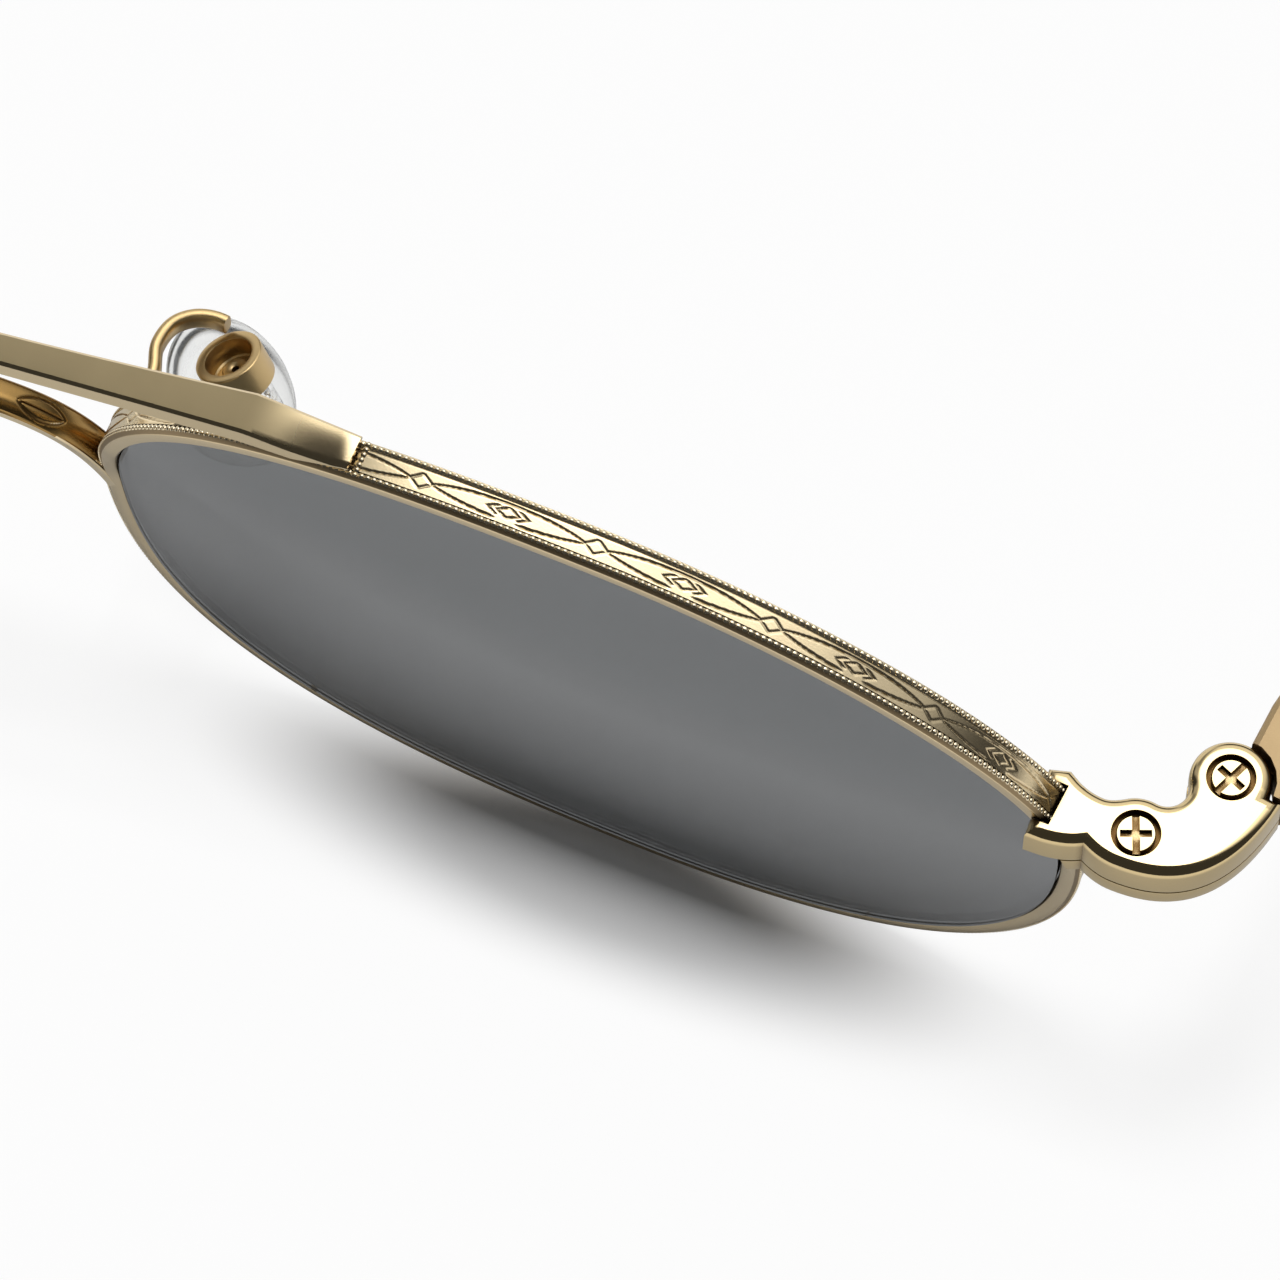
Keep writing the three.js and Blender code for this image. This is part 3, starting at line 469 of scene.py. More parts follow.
outer = (wire[:, 0] > -0.35) | (wire[:, 1] < 0.42)

along = np.linspace(0, rim_length, STATIONS, endpoint=False)
points, outward = rim_stations(along)
depth = np.zeros((STATIONS, len(wire)))
depth[:, band_first:band_last] = engraving(along[:, None], (band_back - RIM_DEPTH / 2)[None, :])
offset = wire[None, :, 0] - STROKE_DEPTH * depth
ahead = brow_reach(points[:, 1])[:, None] * np.where(outer, 1 - wire[:, 1] / RIM_DEPTH, 0.0)
rim_points = from_lens_plane(
    points[:, None, 0] + outward[:, None, 0] * offset,
    points[:, None, 1] + outward[:, None, 1] * offset,
    wire[None, :, 1] - ahead,
).reshape(-1, 3)
rim_faces = tube(STATIONS, len(wire), closed=True)

# Painted shade on the gutters, the front lip and the chamfer, with patina in the strokes.
in_gutter = (wire[:, 0] > -0.21) & (wire[:, 0] < -0.14) & (wire[:, 1] < RIM_DEPTH / 2)
painted_rim_shade = np.where(in_gutter, GUTTER_SHADE, 0.0)
painted_rim_shade[wire[:, 0] < -0.28] = LIP_SHADE
painted_rim_shade[chamfer] = CHAMFER_SHADE
rim_patina_and_shade = np.maximum(STROKE_STAIN * depth, painted_rim_shade[None, :]).ravel()
print("rim skin:", len(rim_points), "points")

# %% [markdown]
# The rows of beads, called milgrain, are rolled into both borders of the band, three to the millimetre.
# Each bead is its own small flattened ball sunk in the seat, because a bump map has no outline. The tops
# of the beads stay just under the solid's surface, so the rim keeps its size. Seven more beads in a row
# across the band cover the solder where the brow bar ends.

# %% Add the beads and place both rims
BEAD_PITCH, BEAD_RADIUS, BEAD_FLAT, BEAD_SUNK = 0.322, 0.15, 0.5, 0.005
FRONT_ROW, BACK_ROW = 0.25, 1.485      # behind the front face
COLLAR_X, COLLAR_BEADS, COLLAR_SUNK = 24.95, 7, 0.02


def facing_of(outward):
    """A direction in the lens plane as a direction in space."""
    across, up = outward.T
    return np.stack([across, -up * math.sin(LEAN), up * math.cos(LEAN)], -1)


bead_along = np.arange(0, rim_length - BEAD_PITCH / 2, rim_length / round(rim_length / BEAD_PITCH))
bead_points, bead_outward = rim_stations(bead_along)
bead_middle = bead_points - bead_outward * (BEAD_RADIUS * BEAD_FLAT + BEAD_SUNK)
bead_reach = brow_reach(bead_points[:, 1])
bead_rows = [from_lens_plane(*bead_middle.T, back - bead_reach * (1 - back / RIM_DEPTH))
             for back in (FRONT_ROW, BACK_ROW)]
nasal_top = slice(10000, 20001)
collar_along = np.interp(COLLAR_X - eye[0], fine_points[nasal_top, 0][::-1], fine_lengths[nasal_top][::-1])
collar_points, collar_outward = rim_stations(np.full(COLLAR_BEADS, collar_along))
collar_middle = collar_points - COLLAR_SUNK * collar_outward
bead_rows.append(from_lens_plane(*collar_middle.T, np.linspace(-0.1, 1.48, COLLAR_BEADS)))
bead_facing = facing_of(np.concatenate([bead_outward, bead_outward, collar_outward]))
grain_points, grain_faces = beads(np.concatenate(bead_rows), bead_facing, BEAD_RADIUS, BEAD_FLAT)

all_points = np.concatenate([rim_points, grain_points])
all_faces = rim_faces + shifted(grain_faces, len(rim_points))
all_patina_and_shade = np.concatenate([rim_patina_and_shade, np.zeros(len(grain_points))])
for side in SIDES:
    shape = on_side(side, (all_points, all_faces))
    rim = piece(f"engraved_rim_{side}", *shape, [engraved_gold, bead_gold], sharp=50)
    for face in rim.data.polygons[len(rim_faces):]:
        face.material_index = 1
    store(rim, "cut", all_patina_and_shade)
    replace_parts(rim, f"rim_{side}")
print("beads on each rim:", len(bead_facing))

# %% [markdown]
# ## Brow bar
# The brow bar is a bowed strip with a satin top, framed by two thin polished bevels, and sloping
# polished ends that lie on the rims. It is lofted from stations along its length. Its plan follows
# the solid: narrow in the middle, widest where the ends start to slope. The satin top's colour is painted
# much darker than the polished gold, as shade. The satin fades into the polish along each end, as it does
# where a buffing wheel stopped, and the painted shade fades with it, so the share of polish is stored with
# the points. The ends tip forward a little, which is where they mirror something darker than the top does.

# %% Loft the brow bar
BAR_HALF, BAR_SLOPED, BAR_THICK, BAR_BEVEL = 24.6, 5.2, 1.2, 0.17
BAR_WAIST, BAR_SWELL, BAR_END = 1.35, 2.0, 1.6
BAR_END_HEIGHT, BAR_CROWN, BAR_LEAD, BAR_SLOPE, BAR_BEND = 0.62, 0.35, 0.25, 0.14, 4.0
END_TIP, FADE_LENGTH = 0.23, 4.0


def rim_height(across):
    fullness = TOP_FULLNESS["nasal"]
    return RIM_TOP * np.clip(1 - np.abs(across / RIM_NASAL) ** fullness, 0, 1) ** (1 / fullness)


end_rise = rim_height(BAR_HALF - eye[0])
end_top = eye[2] + end_rise * math.cos(LEAN) + BAR_END_HEIGHT
end_middle = eye[1] - end_rise * math.sin(LEAN) + RIM_DEPTH * math.cos(LEAN) / 2
flat_half = BAR_HALF - BAR_SLOPED
sloped_x = np.linspace(flat_half, BAR_HALF, 25)[1:]
bar_x = np.concatenate([-sloped_x[::-1], np.linspace(-flat_half, flat_half, 81), sloped_x])
span = np.abs(bar_x)
slope_share = np.clip((span - flat_half) / BAR_SLOPED, 0, 1)
bar_top = end_top + BAR_CROWN * (1 - slope_share)
bar_depth = np.where(span > flat_half, BAR_SWELL + (BAR_END - BAR_SWELL) * slope_share,
                     BAR_WAIST + (BAR_SWELL - BAR_WAIST) * (span / flat_half) ** 2)
bar_middle = end_middle - BAR_LEAD * np.clip((BAR_HALF - span) / BAR_SLOPED, 0, 1)
bar_middle -= BAR_SLOPE * np.clip(math.hypot(flat_half, BAR_BEND) - np.hypot(span, BAR_BEND), 0, None)

under_rim = eye[2] + rim_height(span - eye[0]) * math.cos(LEAN) + RIM_DEPTH * math.sin(LEAN) + SEAM
over_rim = span > eye[0] - RIM_NASAL + 1.5
thinnest = np.minimum(under_rim, bar_top - 0.4)
bar_bottom = np.where(over_rim, np.maximum(bar_top - BAR_THICK, thinnest), bar_top - BAR_THICK)
low = bar_bottom + 0.06
high = bar_top - BAR_BEVEL
back = bar_middle + bar_depth / 2
front = bar_middle - bar_depth / 2 - BAR_BEVEL * np.clip(span / 5, 0, 1)
front = np.maximum(front, cad_box[0][1] / MM)
top_front, top_back = front + BAR_BEVEL, back - BAR_BEVEL
end_tip = END_TIP * smooth(slope_share / 0.5) * (1 - 0.8 * smooth((slope_share - 0.84) / 0.15))
bar_corners = [(front, low), (front, np.maximum(high - end_tip, low + 0.03))]
for share in np.linspace(1, 0, 9):
    drop = end_tip * share ** 1.2 + 0.05 * share ** 2
    bar_corners.append((top_back + (top_front - top_back) * share, bar_top - drop))
bar_corners += [(back, high), (back, low), (back - 0.1, bar_bottom), (front + 0.1, bar_bottom)]
bar_points = np.stack([np.stack([bar_x, y, z], -1) for y, z in bar_corners], 1).reshape(-1, 3)
bar_faces = [face[::-1] for face in tube(len(bar_x), len(bar_corners), closed=False)]
bar = piece("satin_brow_bar", bar_points, bar_faces, [bright_gold, satin_shade_gold], sharp=30)
# Faces that look up get the satin with its painted shade, the rest the bright polish.
for face in bar.data.polygons:
    face.material_index = int(face.normal.z > 0.85)
store(bar, "polish", np.repeat(smooth((span - flat_half + 0.2) / FADE_LENGTH), len(bar_corners)))
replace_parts(bar, "brow_bar")
satin_faces = sum(face.material_index for face in bar.data.polygons)
print("brow bar top:", round(bar_top.max(), 2), "mm, satin faces:", satin_faces)

# %% [markdown]
# ## Lens
# The lens is a shallow dome of grey glass with both faces bulging forward. Its solid has few facets,
# which would show as kinks in a reflection, so the same dome is turned here from many rings. Real
# refraction is kept: what lies behind a lens this thick shifts when it is seen at a slant.

# %% Turn the lenses
LENS_CROWN, LENS_THICK, TONGUE_HALF, TONGUE_REACH = 1.3, 1.8, 0.3, -0.7


def lens_ring(offset, share, back):
    """One ring of the lens: the rim's outline moved by an offset, drawn in to a share, on the dome."""
    edge, edge_out = rim_outline(whole_turn(160))
    edge = (edge + edge_out * offset) * share
    return from_lens_plane(*edge.T, np.full(len(edge), back - LENS_CROWN * (1 - share ** 2)))


edge_offset = -RIM_WALL - SEAM
shares = [0.02, 0.1, *np.linspace(0.2, 1, 9)]
half_depth = RIM_DEPTH / 2
rings = [lens_ring(edge_offset, share, half_depth + LENS_THICK / 2) for share in shares]
rings += [lens_ring(reach, 1, half_depth + side * TONGUE_HALF)
          for reach, side in ((edge_offset, 1), (TONGUE_REACH, 1), (TONGUE_REACH, -1), (edge_offset, -1))]
rings += [lens_ring(edge_offset, share, half_depth - LENS_THICK / 2) for share in shares[::-1]]
lens_points = np.concatenate(rings)
lens_faces = tube(len(rings), len(rings[0]), closed=False)

lens_grey, shade, shader = finish("grey_lens", Transmission_Weight=1.0, IOR=1.5, Specular_IOR_Level=0.14)
film = grain(shade, 60, 2)
shade.feed(shader["Base Color"], film.between((0.134, 0.14, 0.145, 1), (0.122, 0.128, 0.133, 1)))
shade.feed(shader["Roughness"], film * 0.02)
for side in SIDES:
    shape = on_side(side, (lens_points, lens_faces))
    lens = piece(f"grey_lens_{side}", *shape, [lens_grey], slot="lens", sharp=30)
    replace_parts(lens, f"lens_{side}")
print("lens rings:", len(rings))

# %% [markdown]
# ## Hinge plates
# At the temple side two thick plates clamp the ends of the split rim and carry the hinge. Seen from
# above they are a flowing outline of arcs: a fork round the rim, a boss for each screw and a hollow
# between. The outline is drawn from the same values as the solids, but with many more points, because
# a mirror-bright edge shows every facet.

# %% Draw the plates' outline
PLATE_RISE = 5.82
PLATE_TOP = eye[2] + PLATE_RISE
UPPER_PLATE, SPLIT, LOWER_PLATE, PLATE_ROUND, LOWER_ROUND = 2.05, 0.12, 1.1, 0.5, 0.12
LOCK_BOSS, BARREL, HOLLOW, SHOULDER = 1.92, 1.95, 1.02, 0.7
SHOULDER_TURN, BOSS_TURN = math.radians(-5), math.radians(125)
SPLIT_TOP = PLATE_TOP - UPPER_PLATE
SPLIT_BOTTOM = SPLIT_TOP - SPLIT
fullness = TOP_FULLNESS["temporal"]
rim_reach = RIM_TEMPORAL * (1 - (PLATE_RISE / math.cos(LEAN) / RIM_TOP) ** fullness) ** (1 / fullness)
plate_root = np.array([eye[0] + rim_reach, eye[1]])
lock_screw, hinge_screw = plate_root + [3.97, 0.18], plate_root + [6.97, 4.54]


def curve(*corners, steps=16):
    """Points of a Bezier curve through its first and last corner, without the last."""
    share = np.linspace(0, 1, steps, endpoint=False)[:, None]
    levels = [np.asarray(corner, float) + 0 * share for corner in corners]
    while len(levels) > 1:
        levels = [a + (b - a) * share for a, b in zip(levels, levels[1:])]
    return levels[0]


def spoke(turn):
    """The direction at an angle."""
    return np.stack([np.cos(turn), np.sin(turn)], -1)


def arc(centre, radius, start, stop, steps=28):
    return centre + radius * spoke(np.linspace(start, stop, steps))


def direction(vector):
    return math.atan2(vector[1], vector[0]) % (2 * math.pi)


def plate_outline():
    """The outline from the fork's front tip round the shoulder, the barrel, the hollow and the boss."""
    span = hinge_screw - lock_screw
    length = np.linalg.norm(span)
    along = span / length
    across = np.array([-along[1], along[0]])
    to_boss, to_barrel = LOCK_BOSS + HOLLOW, BARREL + HOLLOW
    reach = (to_boss ** 2 - to_barrel ** 2 + length ** 2) / (2 * length)
    hollow = lock_screw + along * reach + across * math.sqrt(to_boss ** 2 - reach ** 2)
    from_hinge, from_boss = direction(hollow - hinge_screw), direction(hollow - lock_screw)
    outer = hinge_screw + (BARREL + SHOULDER) * spoke(SHOULDER_TURN)
    front = lock_screw[1] - 1.86
    sweep = lock_screw[0] - 0.2 * LOCK_BOSS
    waist = plate_root[0] + 1.9
    x, y = plate_root
    run = outer - [sweep, front]
    return np.concatenate([
        curve((x - 0.8, y - 1.85), (x + 0.95, y - 1.85), (waist, y - 1.25)),
        curve((waist, y - 1.25), ((waist + sweep) / 2, front), (sweep, front)),
        curve((sweep, front), (sweep + 0.66 * run[0], front), outer - run * [0.1, 0.57], outer, steps=40),
        [outer],
        arc(hinge_screw, BARREL, SHOULDER_TURN, from_hinge, 48),
        arc(hollow, HOLLOW, from_hinge + math.pi, from_boss + math.pi)[1:],
        arc(lock_screw, LOCK_BOSS, from_boss, BOSS_TURN)[1:-1],
        curve(lock_screw + LOCK_BOSS * spoke(BOSS_TURN), (waist + 0.38, y + 1.35), (waist, y + 1.35)),
        curve((waist, y + 1.35), (x + 0.95, y + 1.35), (x, y + 2.0)),
        [(x, y + 2.0), (x - 1.0, y + 1.7)],
    ])


def inset(outline, distance):
    """The outline moved inwards by the same distance all round."""
    edge = unit(np.roll(outline, -1, 0) - outline)
    inward = np.stack([-edge[:, 1], edge[:, 0]], -1)
    bisector = inward + np.roll(inward, 1, 0)
    share = np.clip((bisector * inward).sum(1, keepdims=True), 0.6, None)
    return outline + distance * bisector / share


def thinned(outline, room):
    """Leave out points that crowd a sharp corner and would cross when the outline is drawn in."""
    edge = np.roll(outline, -1, 0) - outline
    heading = np.arctan2(edge[:, 1], edge[:, 0])
    turn = (heading - np.roll(heading, 1) + math.pi) % (2 * math.pi) - math.pi
    gaps = np.linalg.norm(outline[:, None] - outline[turn > 0.7][None], axis=2)
    return outline[((gaps < 1e-9) | (gaps > room)).all(1)]


CORNER_ROOM = 0.66
outline = thinned(plate_outline(), CORNER_ROOM)
print("plate outline:", len(outline), "points, hinge at", hinge_screw.round(2))

# %% [markdown]
# A plate is a stack of outlines, drawn in near the top so that the edge is round. Holes for the screws,
# the room for the rim and the gap for the hinge leaf are then cut with Boolean modifiers, as a mill
# would. Level faces are then shaded flat, so that only the edges look round.

# %% Mill the plates
def stack(levels):
    """A closed body through outlines at rising heights."""
    rings = [np.column_stack([ring, np.full(len(ring), height)]) for ring, height in levels]
    return np.concatenate(rings), tube(len(levels), len(rings[0]), closed=False)


def lathe(centre, steps, count=64, start=0.0):
    """A turned body through steps of (radius, height)."""
    turn = spoke(whole_turn(count, start))
    return stack([(centre + radius * turn, height) for radius, height in steps])


def drill(centre, radius, bottom, top):
    return lathe(centre, [(radius, bottom), (radius, top)])


def rim_room(ahead, behind):
    """The rim as a solid disc with a seam round it, and some room ahead of it and behind."""
    points, outward = rim_outline(whole_turn(400))
    points = points + outward * SEAM
    rings = [from_lens_plane(*points.T, np.full(len(points), back))
             for back in (RIM_DEPTH + behind, -ahead)]
    return np.concatenate(rings), tube(2, len(points), closed=False)


def carve(made, tools, sharp=30):
    """Cut other bodies out of a piece, or join them to it."""
    for operation, points, faces in tools:
        cutter = mesh_object("cutter", points, faces)
        boolean = made.modifiers.new("carve", "BOOLEAN")
        boolean.operation, boolean.solver, boolean.object = operation, "MANIFOLD", cutter
    bpy.context.view_layer.update()
    evaluated = made.evaluated_get(bpy.context.evaluated_depsgraph_get())
    carved = bpy.data.meshes.new_from_object(evaluated)
    for modifier in list(made.modifiers):
        bpy.data.objects.remove(modifier.object)
        made.modifiers.remove(modifier)
    made.data = carved
    smoothed(carved, sharp)
    for face in carved.polygons:
        face.use_smooth = abs(face.normal.z) < 0.9999
    return made


def rounded(bottom, top, low_round, top_round, steps=6):
    """Levels of a plate with a round upper edge, and a round lower one if it is asked for."""
    quarter = [(1 - math.cos(t), 1 - math.sin(t)) for t in np.linspace(0, math.pi / 2, steps)]
    levels = [(outline, bottom)]
    if low_round:
        levels = [(inset(outline, low_round * side), bottom + low_round * rise) for rise, side in quarter]
    return levels + [(inset(outline, top_round * side), top - top_round * fall) for side, fall in quarter]


BORE, COUNTERBORE, COUNTERBORE_DEPTH = 0.7, 1.18, 0.5
LEAF_GAP, LEAF_ROOM = 0.15, 1.1
screw_places = (lock_screw, hinge_screw)
below, above, ledge = SPLIT_TOP - 3, PLATE_TOP + 1, PLATE_TOP - COUNTERBORE_DEPTH
bores = [drill(at, BORE, below, above) for at in screw_places]
steps = [(BORE, below), (BORE, ledge), (COUNTERBORE, ledge), (COUNTERBORE, above)]
stepped = [lathe(at, steps, count=72, start=0.02) for at in screw_places]
leaf_room = drill(hinge_screw, BARREL + LEAF_GAP, SPLIT_TOP - 1, SPLIT_BOTTOM + LEAF_ROOM)
upper = stack(rounded(SPLIT_TOP, PLATE_TOP, 0, PLATE_ROUND))
lower = stack(rounded(SPLIT_BOTTOM - LOWER_PLATE, SPLIT_BOTTOM, LOWER_ROUND, 0.03))
for side in SIDES:
    for name, shape, cutters in (
        ("upper", upper, [rim_room(SEAM + BROW_REACH, SEAM), leaf_room, *stepped]),
        ("lower", lower, [rim_room(RIM_DEPTH, RIM_DEPTH), *bores]),
    ):
        plate = piece(f"{name}_hinge_plate_{side}", *on_side(side, shape), [mirror_gold])
        carve(plate, [("DIFFERENCE", *on_side(side, cutter)) for cutter in cutters])
        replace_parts(plate, f"{name}_endpiece_{side}")
        print(plate.name, len(plate.data.vertices), "points")

# %% [markdown]
# ## Screws
# Each screw head sits in its counterbore with a narrow gap all round. A slot runs right across it and
# a shorter one crosses that. The head is a turned disc and both slots are cut, one at a time.

# %% Turn the screws and cut their slots
SLOT_WIDTH, LONG_SLOT, CROSS_SLOT, SLOT_DEPTH = 0.36, 2.2, 1.5, 0.3
HEAD_TOP, HEAD_FOOT = PLATE_TOP - SEAM / 2, PLATE_TOP - 0.4
SHANK, HEAD, HEAD_EDGE = 0.6, 0.93, 0.05


def saw(centre, length, degrees):
    """A slot across a screw's head."""
    along = spoke(math.radians(degrees))
    across = np.array([-along[1], along[0]])
    ring = np.array([centre + along * u * length / 2 + across * v * SLOT_WIDTH / 2
                     for u, v in ((-1, -1), (1, -1), (1, 1), (-1, 1))])
    return stack([(ring, HEAD_TOP - SLOT_DEPTH), (ring, HEAD_TOP + 0.5)])


for name, place, degrees in (("rim_lock_screw", lock_screw, 113), ("hinge_screw", hinge_screw, 68)):
    turned = lathe(place, [
        (SHANK, SPLIT_BOTTOM - LOWER_PLATE), (SHANK, HEAD_FOOT), (HEAD, HEAD_FOOT),
        (HEAD, HEAD_TOP - HEAD_EDGE), (HEAD - HEAD_EDGE, HEAD_TOP),
    ])
    slots = [saw(place, LONG_SLOT, degrees), saw(place, CROSS_SLOT, degrees + 90.0)]
    for side in SIDES:
        screw = piece(f"slotted_{name}_{side}", *on_side(side, turned), [mirror_gold])
        carve(screw, [("DIFFERENCE", *on_side(side, slot)) for slot in slots])
        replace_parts(screw, f"{name}_{side}")
    print(name, len(screw.data.vertices), "points")

# %% [markdown]
# ## Lower bridge
# The bridge is a flat wire that arches between the rims, with a small engraved leaf near each foot. It
# follows the same curve as its solid. The section is swept along that curve, and its top is slightly
# domed, so that it shows a bright line between two dark ones, as round metal does. The faces that look
# up are painted a dark amber gold, as the shade under the brow bar.

# %% Sweep the bridge
BRIDGE_DEPTH, BRIDGE_THICK = 1.7, 0.85
BRIDGE_LEAF_PLACE, BRIDGE_LEAF_HALF, BRIDGE_STROKE = 7.8, 1.3, 0.09
foot = np.array([eye[0] - RIM_NASAL + RIM_WALL / 2, eye[1] + 0.97, eye[2] - RIM_WALL])
apex = np.array([0, foot[1] - 2.0, foot[2] + 7.6])
level_out = (0.5 * foot[0], apex[1], apex[2])
bend_down = (0.82 * foot[0], (apex[1] + foot[1]) / 2, apex[2])
half_bridge = curve(apex, level_out, bend_down, foot, steps=400)


def spaced(path, step):
    """The same path with points at even distances."""
    lengths = lengths_along(path)
    places = np.linspace(0, lengths[-1], int(lengths[-1] / step) + 1)
    return np.stack([np.interp(places, lengths, column) for column in path.T], -1), places


half_bridge, bridge_along = spaced(half_bridge, 0.06)
bridge_path = np.concatenate([half_bridge[:0:-1] * [-1, 1, 1], half_bridge])
from_leaf = np.abs(np.concatenate([bridge_along[:0:-1], bridge_along]) - BRIDGE_LEAF_PLACE)
ahead = unit(np.gradient(bridge_path, axis=0))
rearward = unit(np.array([0, 1, 0]) - ahead * ahead[:, 1:2])
topward = np.cross(ahead, rearward)

crown = np.linspace(0.5, -0.5, 25) * (BRIDGE_DEPTH - 0.3)
half, thick = BRIDGE_DEPTH / 2, BRIDGE_THICK / 2
under = [(-half, -0.3), (-0.72, -thick), (0.72, -thick), (half, -0.3), (half, 0.2), (0.78, 0.29)]
domed = [(c, thick - 0.16 * (c / 0.7) ** 2) for c in crown]
bridge_section = np.array(under + domed + [(-0.78, 0.29), (-half, 0.2)])
leaf_share = np.clip(1 - (from_leaf / BRIDGE_LEAF_HALF) ** 2, 0, 1)[:, None]
leaf_line = stroke(np.abs(crown)[None] - 0.52 * leaf_share ** 0.8, 0.1)
leaf_vein = stroke(crown[None], 0.07) * (leaf_share > 0.25)
bridge_depths = np.zeros((len(bridge_path), len(bridge_section)))
bridge_depths[:, len(under):len(under) + len(crown)] = np.maximum(leaf_line, leaf_vein) * (leaf_share > 0)
bridge_heights = bridge_section[None, :, 1] - BRIDGE_STROKE * bridge_depths
bridge_points = (bridge_path[:, None] + rearward[:, None] * bridge_section[None, :, :1]
                 + topward[:, None] * bridge_heights[:, :, None]).reshape(-1, 3)
bridge = piece("arched_bridge", bridge_points, tube(len(bridge_path), len(bridge_section), closed=False),
               [engraved_gold, bridge_shadow_gold])
# Painted shade: the faces that look up get the dark amber gold of the brow bar's shadow.
for face in bridge.data.polygons:
    face.material_index = int(face.normal.z > 0.3)
store(bridge, "cut", bridge_depths)
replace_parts(bridge, "bridge")
print("bridge:", len(bridge_points), "points")

# %% [markdown]
# ## Pad arms and cups
# Behind each rim a thin strip loops round to a small cup, and the nose pad's stem sits under that cup,
# held by an eyelet. The arm is a strip swept along a smooth curve through a few points. The cup and the
# eyelet are turned parts, so they are profiles spun round the stem's axis.

# %% Bend the arms, turn the cups
CUP = np.array([eye[0] - RIM_NASAL + 3.6, eye[1] + 7.6, eye[2] + 0.25])
STEM_UP = unit([-0.47, 0.15, 0.87])
ARM_REACH, ARM_BACK, ARM_LEVEL = 3.75, 1.65, eye[2] + 1.1
ARM_HALVES, ARM_STOP = (0.325, 0.625), 1.62     # half the strip's section, and where it meets the cup


def through(points, steps=24):
    """A smooth curve through points, with the tangents of a centripetal spline."""
    points = np.asarray(points, float)
    points = np.concatenate([[2 * points[0] - points[1]], points, [2 * points[-1] - points[-2]]])
    gaps = np.linalg.norm(np.diff(points, axis=0), axis=1)[:, None] ** 0.5
    slopes = np.diff(points, axis=0) / gaps
    tangents = slopes[:-1] + slopes[1:] - (points[2:] - points[:-2]) / (gaps[:-1] + gaps[1:])
    made = []
    for k in range(len(tangents) - 1):
        start, stop, reach = points[k + 1], points[k + 2], gaps[k + 1] / 3
        leaving, arriving = start + tangents[k] * reach, stop - tangents[k + 1] * reach
        made.append(curve(start, leaving, arriving, stop, steps=steps))
    return np.concatenate(made + [points[-2:-1]])


nasal_wall = eye[0] - RIM_NASAL + RIM_WALL / 2
loop = [(-0.88, -1.3), (-1, -0.45), (-0.94, 0.32), (-0.73, 0.8), (-0.43, 1), (-0.1, 0.88), (0.1, 0.5)]
arm_path = through([(nasal_wall, eye[1] + RIM_DEPTH / 2), (nasal_wall, eye[1] + 2 * RIM_DEPTH),
                    *((CUP[0] + side * ARM_REACH, CUP[1] + back * ARM_BACK) for side, back in loop)])
cup_axis = CUP[:2] + STEM_UP[:2] / STEM_UP[2] * (ARM_LEVEL - CUP[2])
from_axis = np.linalg.norm(arm_path - cup_axis, axis=1)
past_half = np.arange(len(from_axis)) > len(from_axis) / 2
arm_path = arm_path[:np.argmax((from_axis < ARM_STOP) & past_half)]
arm_ahead = unit(np.gradient(arm_path, axis=0))
arm_side = np.stack([-arm_ahead[:, 1], arm_ahead[:, 0], 0 * arm_ahead[:, 0]], -1)
corners = spoke(whole_turn(24))
strip = ARM_HALVES * np.sign(corners) * np.abs(corners) ** 0.6
arm_middle = np.column_stack([arm_path, np.full(len(arm_path), ARM_LEVEL)])
arm_points = (arm_middle[:, None] + arm_side[:, None] * strip[None, :, :1]
              + np.array([0, 0, 1]) * strip[None, :, 1:]).reshape(-1, 3)
arm_faces = tube(len(arm_path), len(strip), closed=False)
print("arm:", len(arm_path), "steps")

# %% [markdown]
# A lathe makes the cup and the eyelet from bar, and turning a profile round an axis does the same here.
# The profile is drawn as radius and height from the cup's middle. Blender's Screw modifier could turn it
# too, but the stem leans in two directions, so it is simpler to place the points along the stem's axes.

# %% Spin the cups and eyelets
stem_side = unit(np.cross(STEM_UP, [0, 1, 0]))
stem_third = np.cross(STEM_UP, stem_side)


def spun(profile, steps=56):
    """A closed profile of (radius, height) turned round the stem's axis."""
    turn = whole_turn(steps)
    spokes = np.cos(turn)[:, None] * stem_side + np.sin(turn)[:, None] * stem_third
    profile = np.asarray(profile)
    points = CUP + spokes[:, None] * profile[None, :, :1] + STEM_UP * profile[None, :, 1:]
    return points.reshape(-1, 3), [face[::-1] for face in tube(steps, len(profile), closed=True)]


cup = spun([(0.52, -0.9), (1.62, -0.9), (1.72, -0.8), (1.72, 0.84), (1.69, 0.88), (1.63, 0.9), (1.3, 0.9),
            (1.24, 0.88), (1.22, 0.84), (1.22, -0.22), (1.14, -0.3), (0.52, -0.3)])
eyelet = spun([(0.2, -2.2), (0.42, -2.2), (0.42, -0.2), (0.66, -0.2), (0.72, -0.12), (0.7, 0.02), (0.6, 0.1),
               (0.34, 0.1), (0.2, 0.02)])
for side in SIDES:
    for name, shape, node in (
        ("bent_pad_arm", (arm_points, arm_faces), "pad_arm"),
        ("turned_cup", cup, "pad_cup"),
        ("turned_eyelet", eyelet, "pad_eyelet"),
    ):
        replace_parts(piece(f"{name}_{side}", *on_side(side, shape), [soft_gold]), f"{node}_{side}")
print("cups and eyelets turned")

# %% [markdown]
# ## Hinge leaves and temples
# These solids have the right shape already, so they stay as they are and only get a finish. Real metal
# has no perfectly sharp edge, so a Bevel modifier rounds each one a little and lets it catch the light.

# %% Finish the metal solids
def dress(name, material, edge=0.0, sharp=25):
    solid = nodes[name]
    solid.data.materials.clear()
    solid.data.materials.append(material)
    smoothed(solid.data, sharp)
    if edge:
        rounding = solid.modifiers.new("rounded_edges", "BEVEL")
        rounding.width, rounding.segments = edge * MM, 2
        rounding.limit_method, rounding.angle_limit = "ANGLE", math.radians(sharp)
        rounding.harden_normals = True


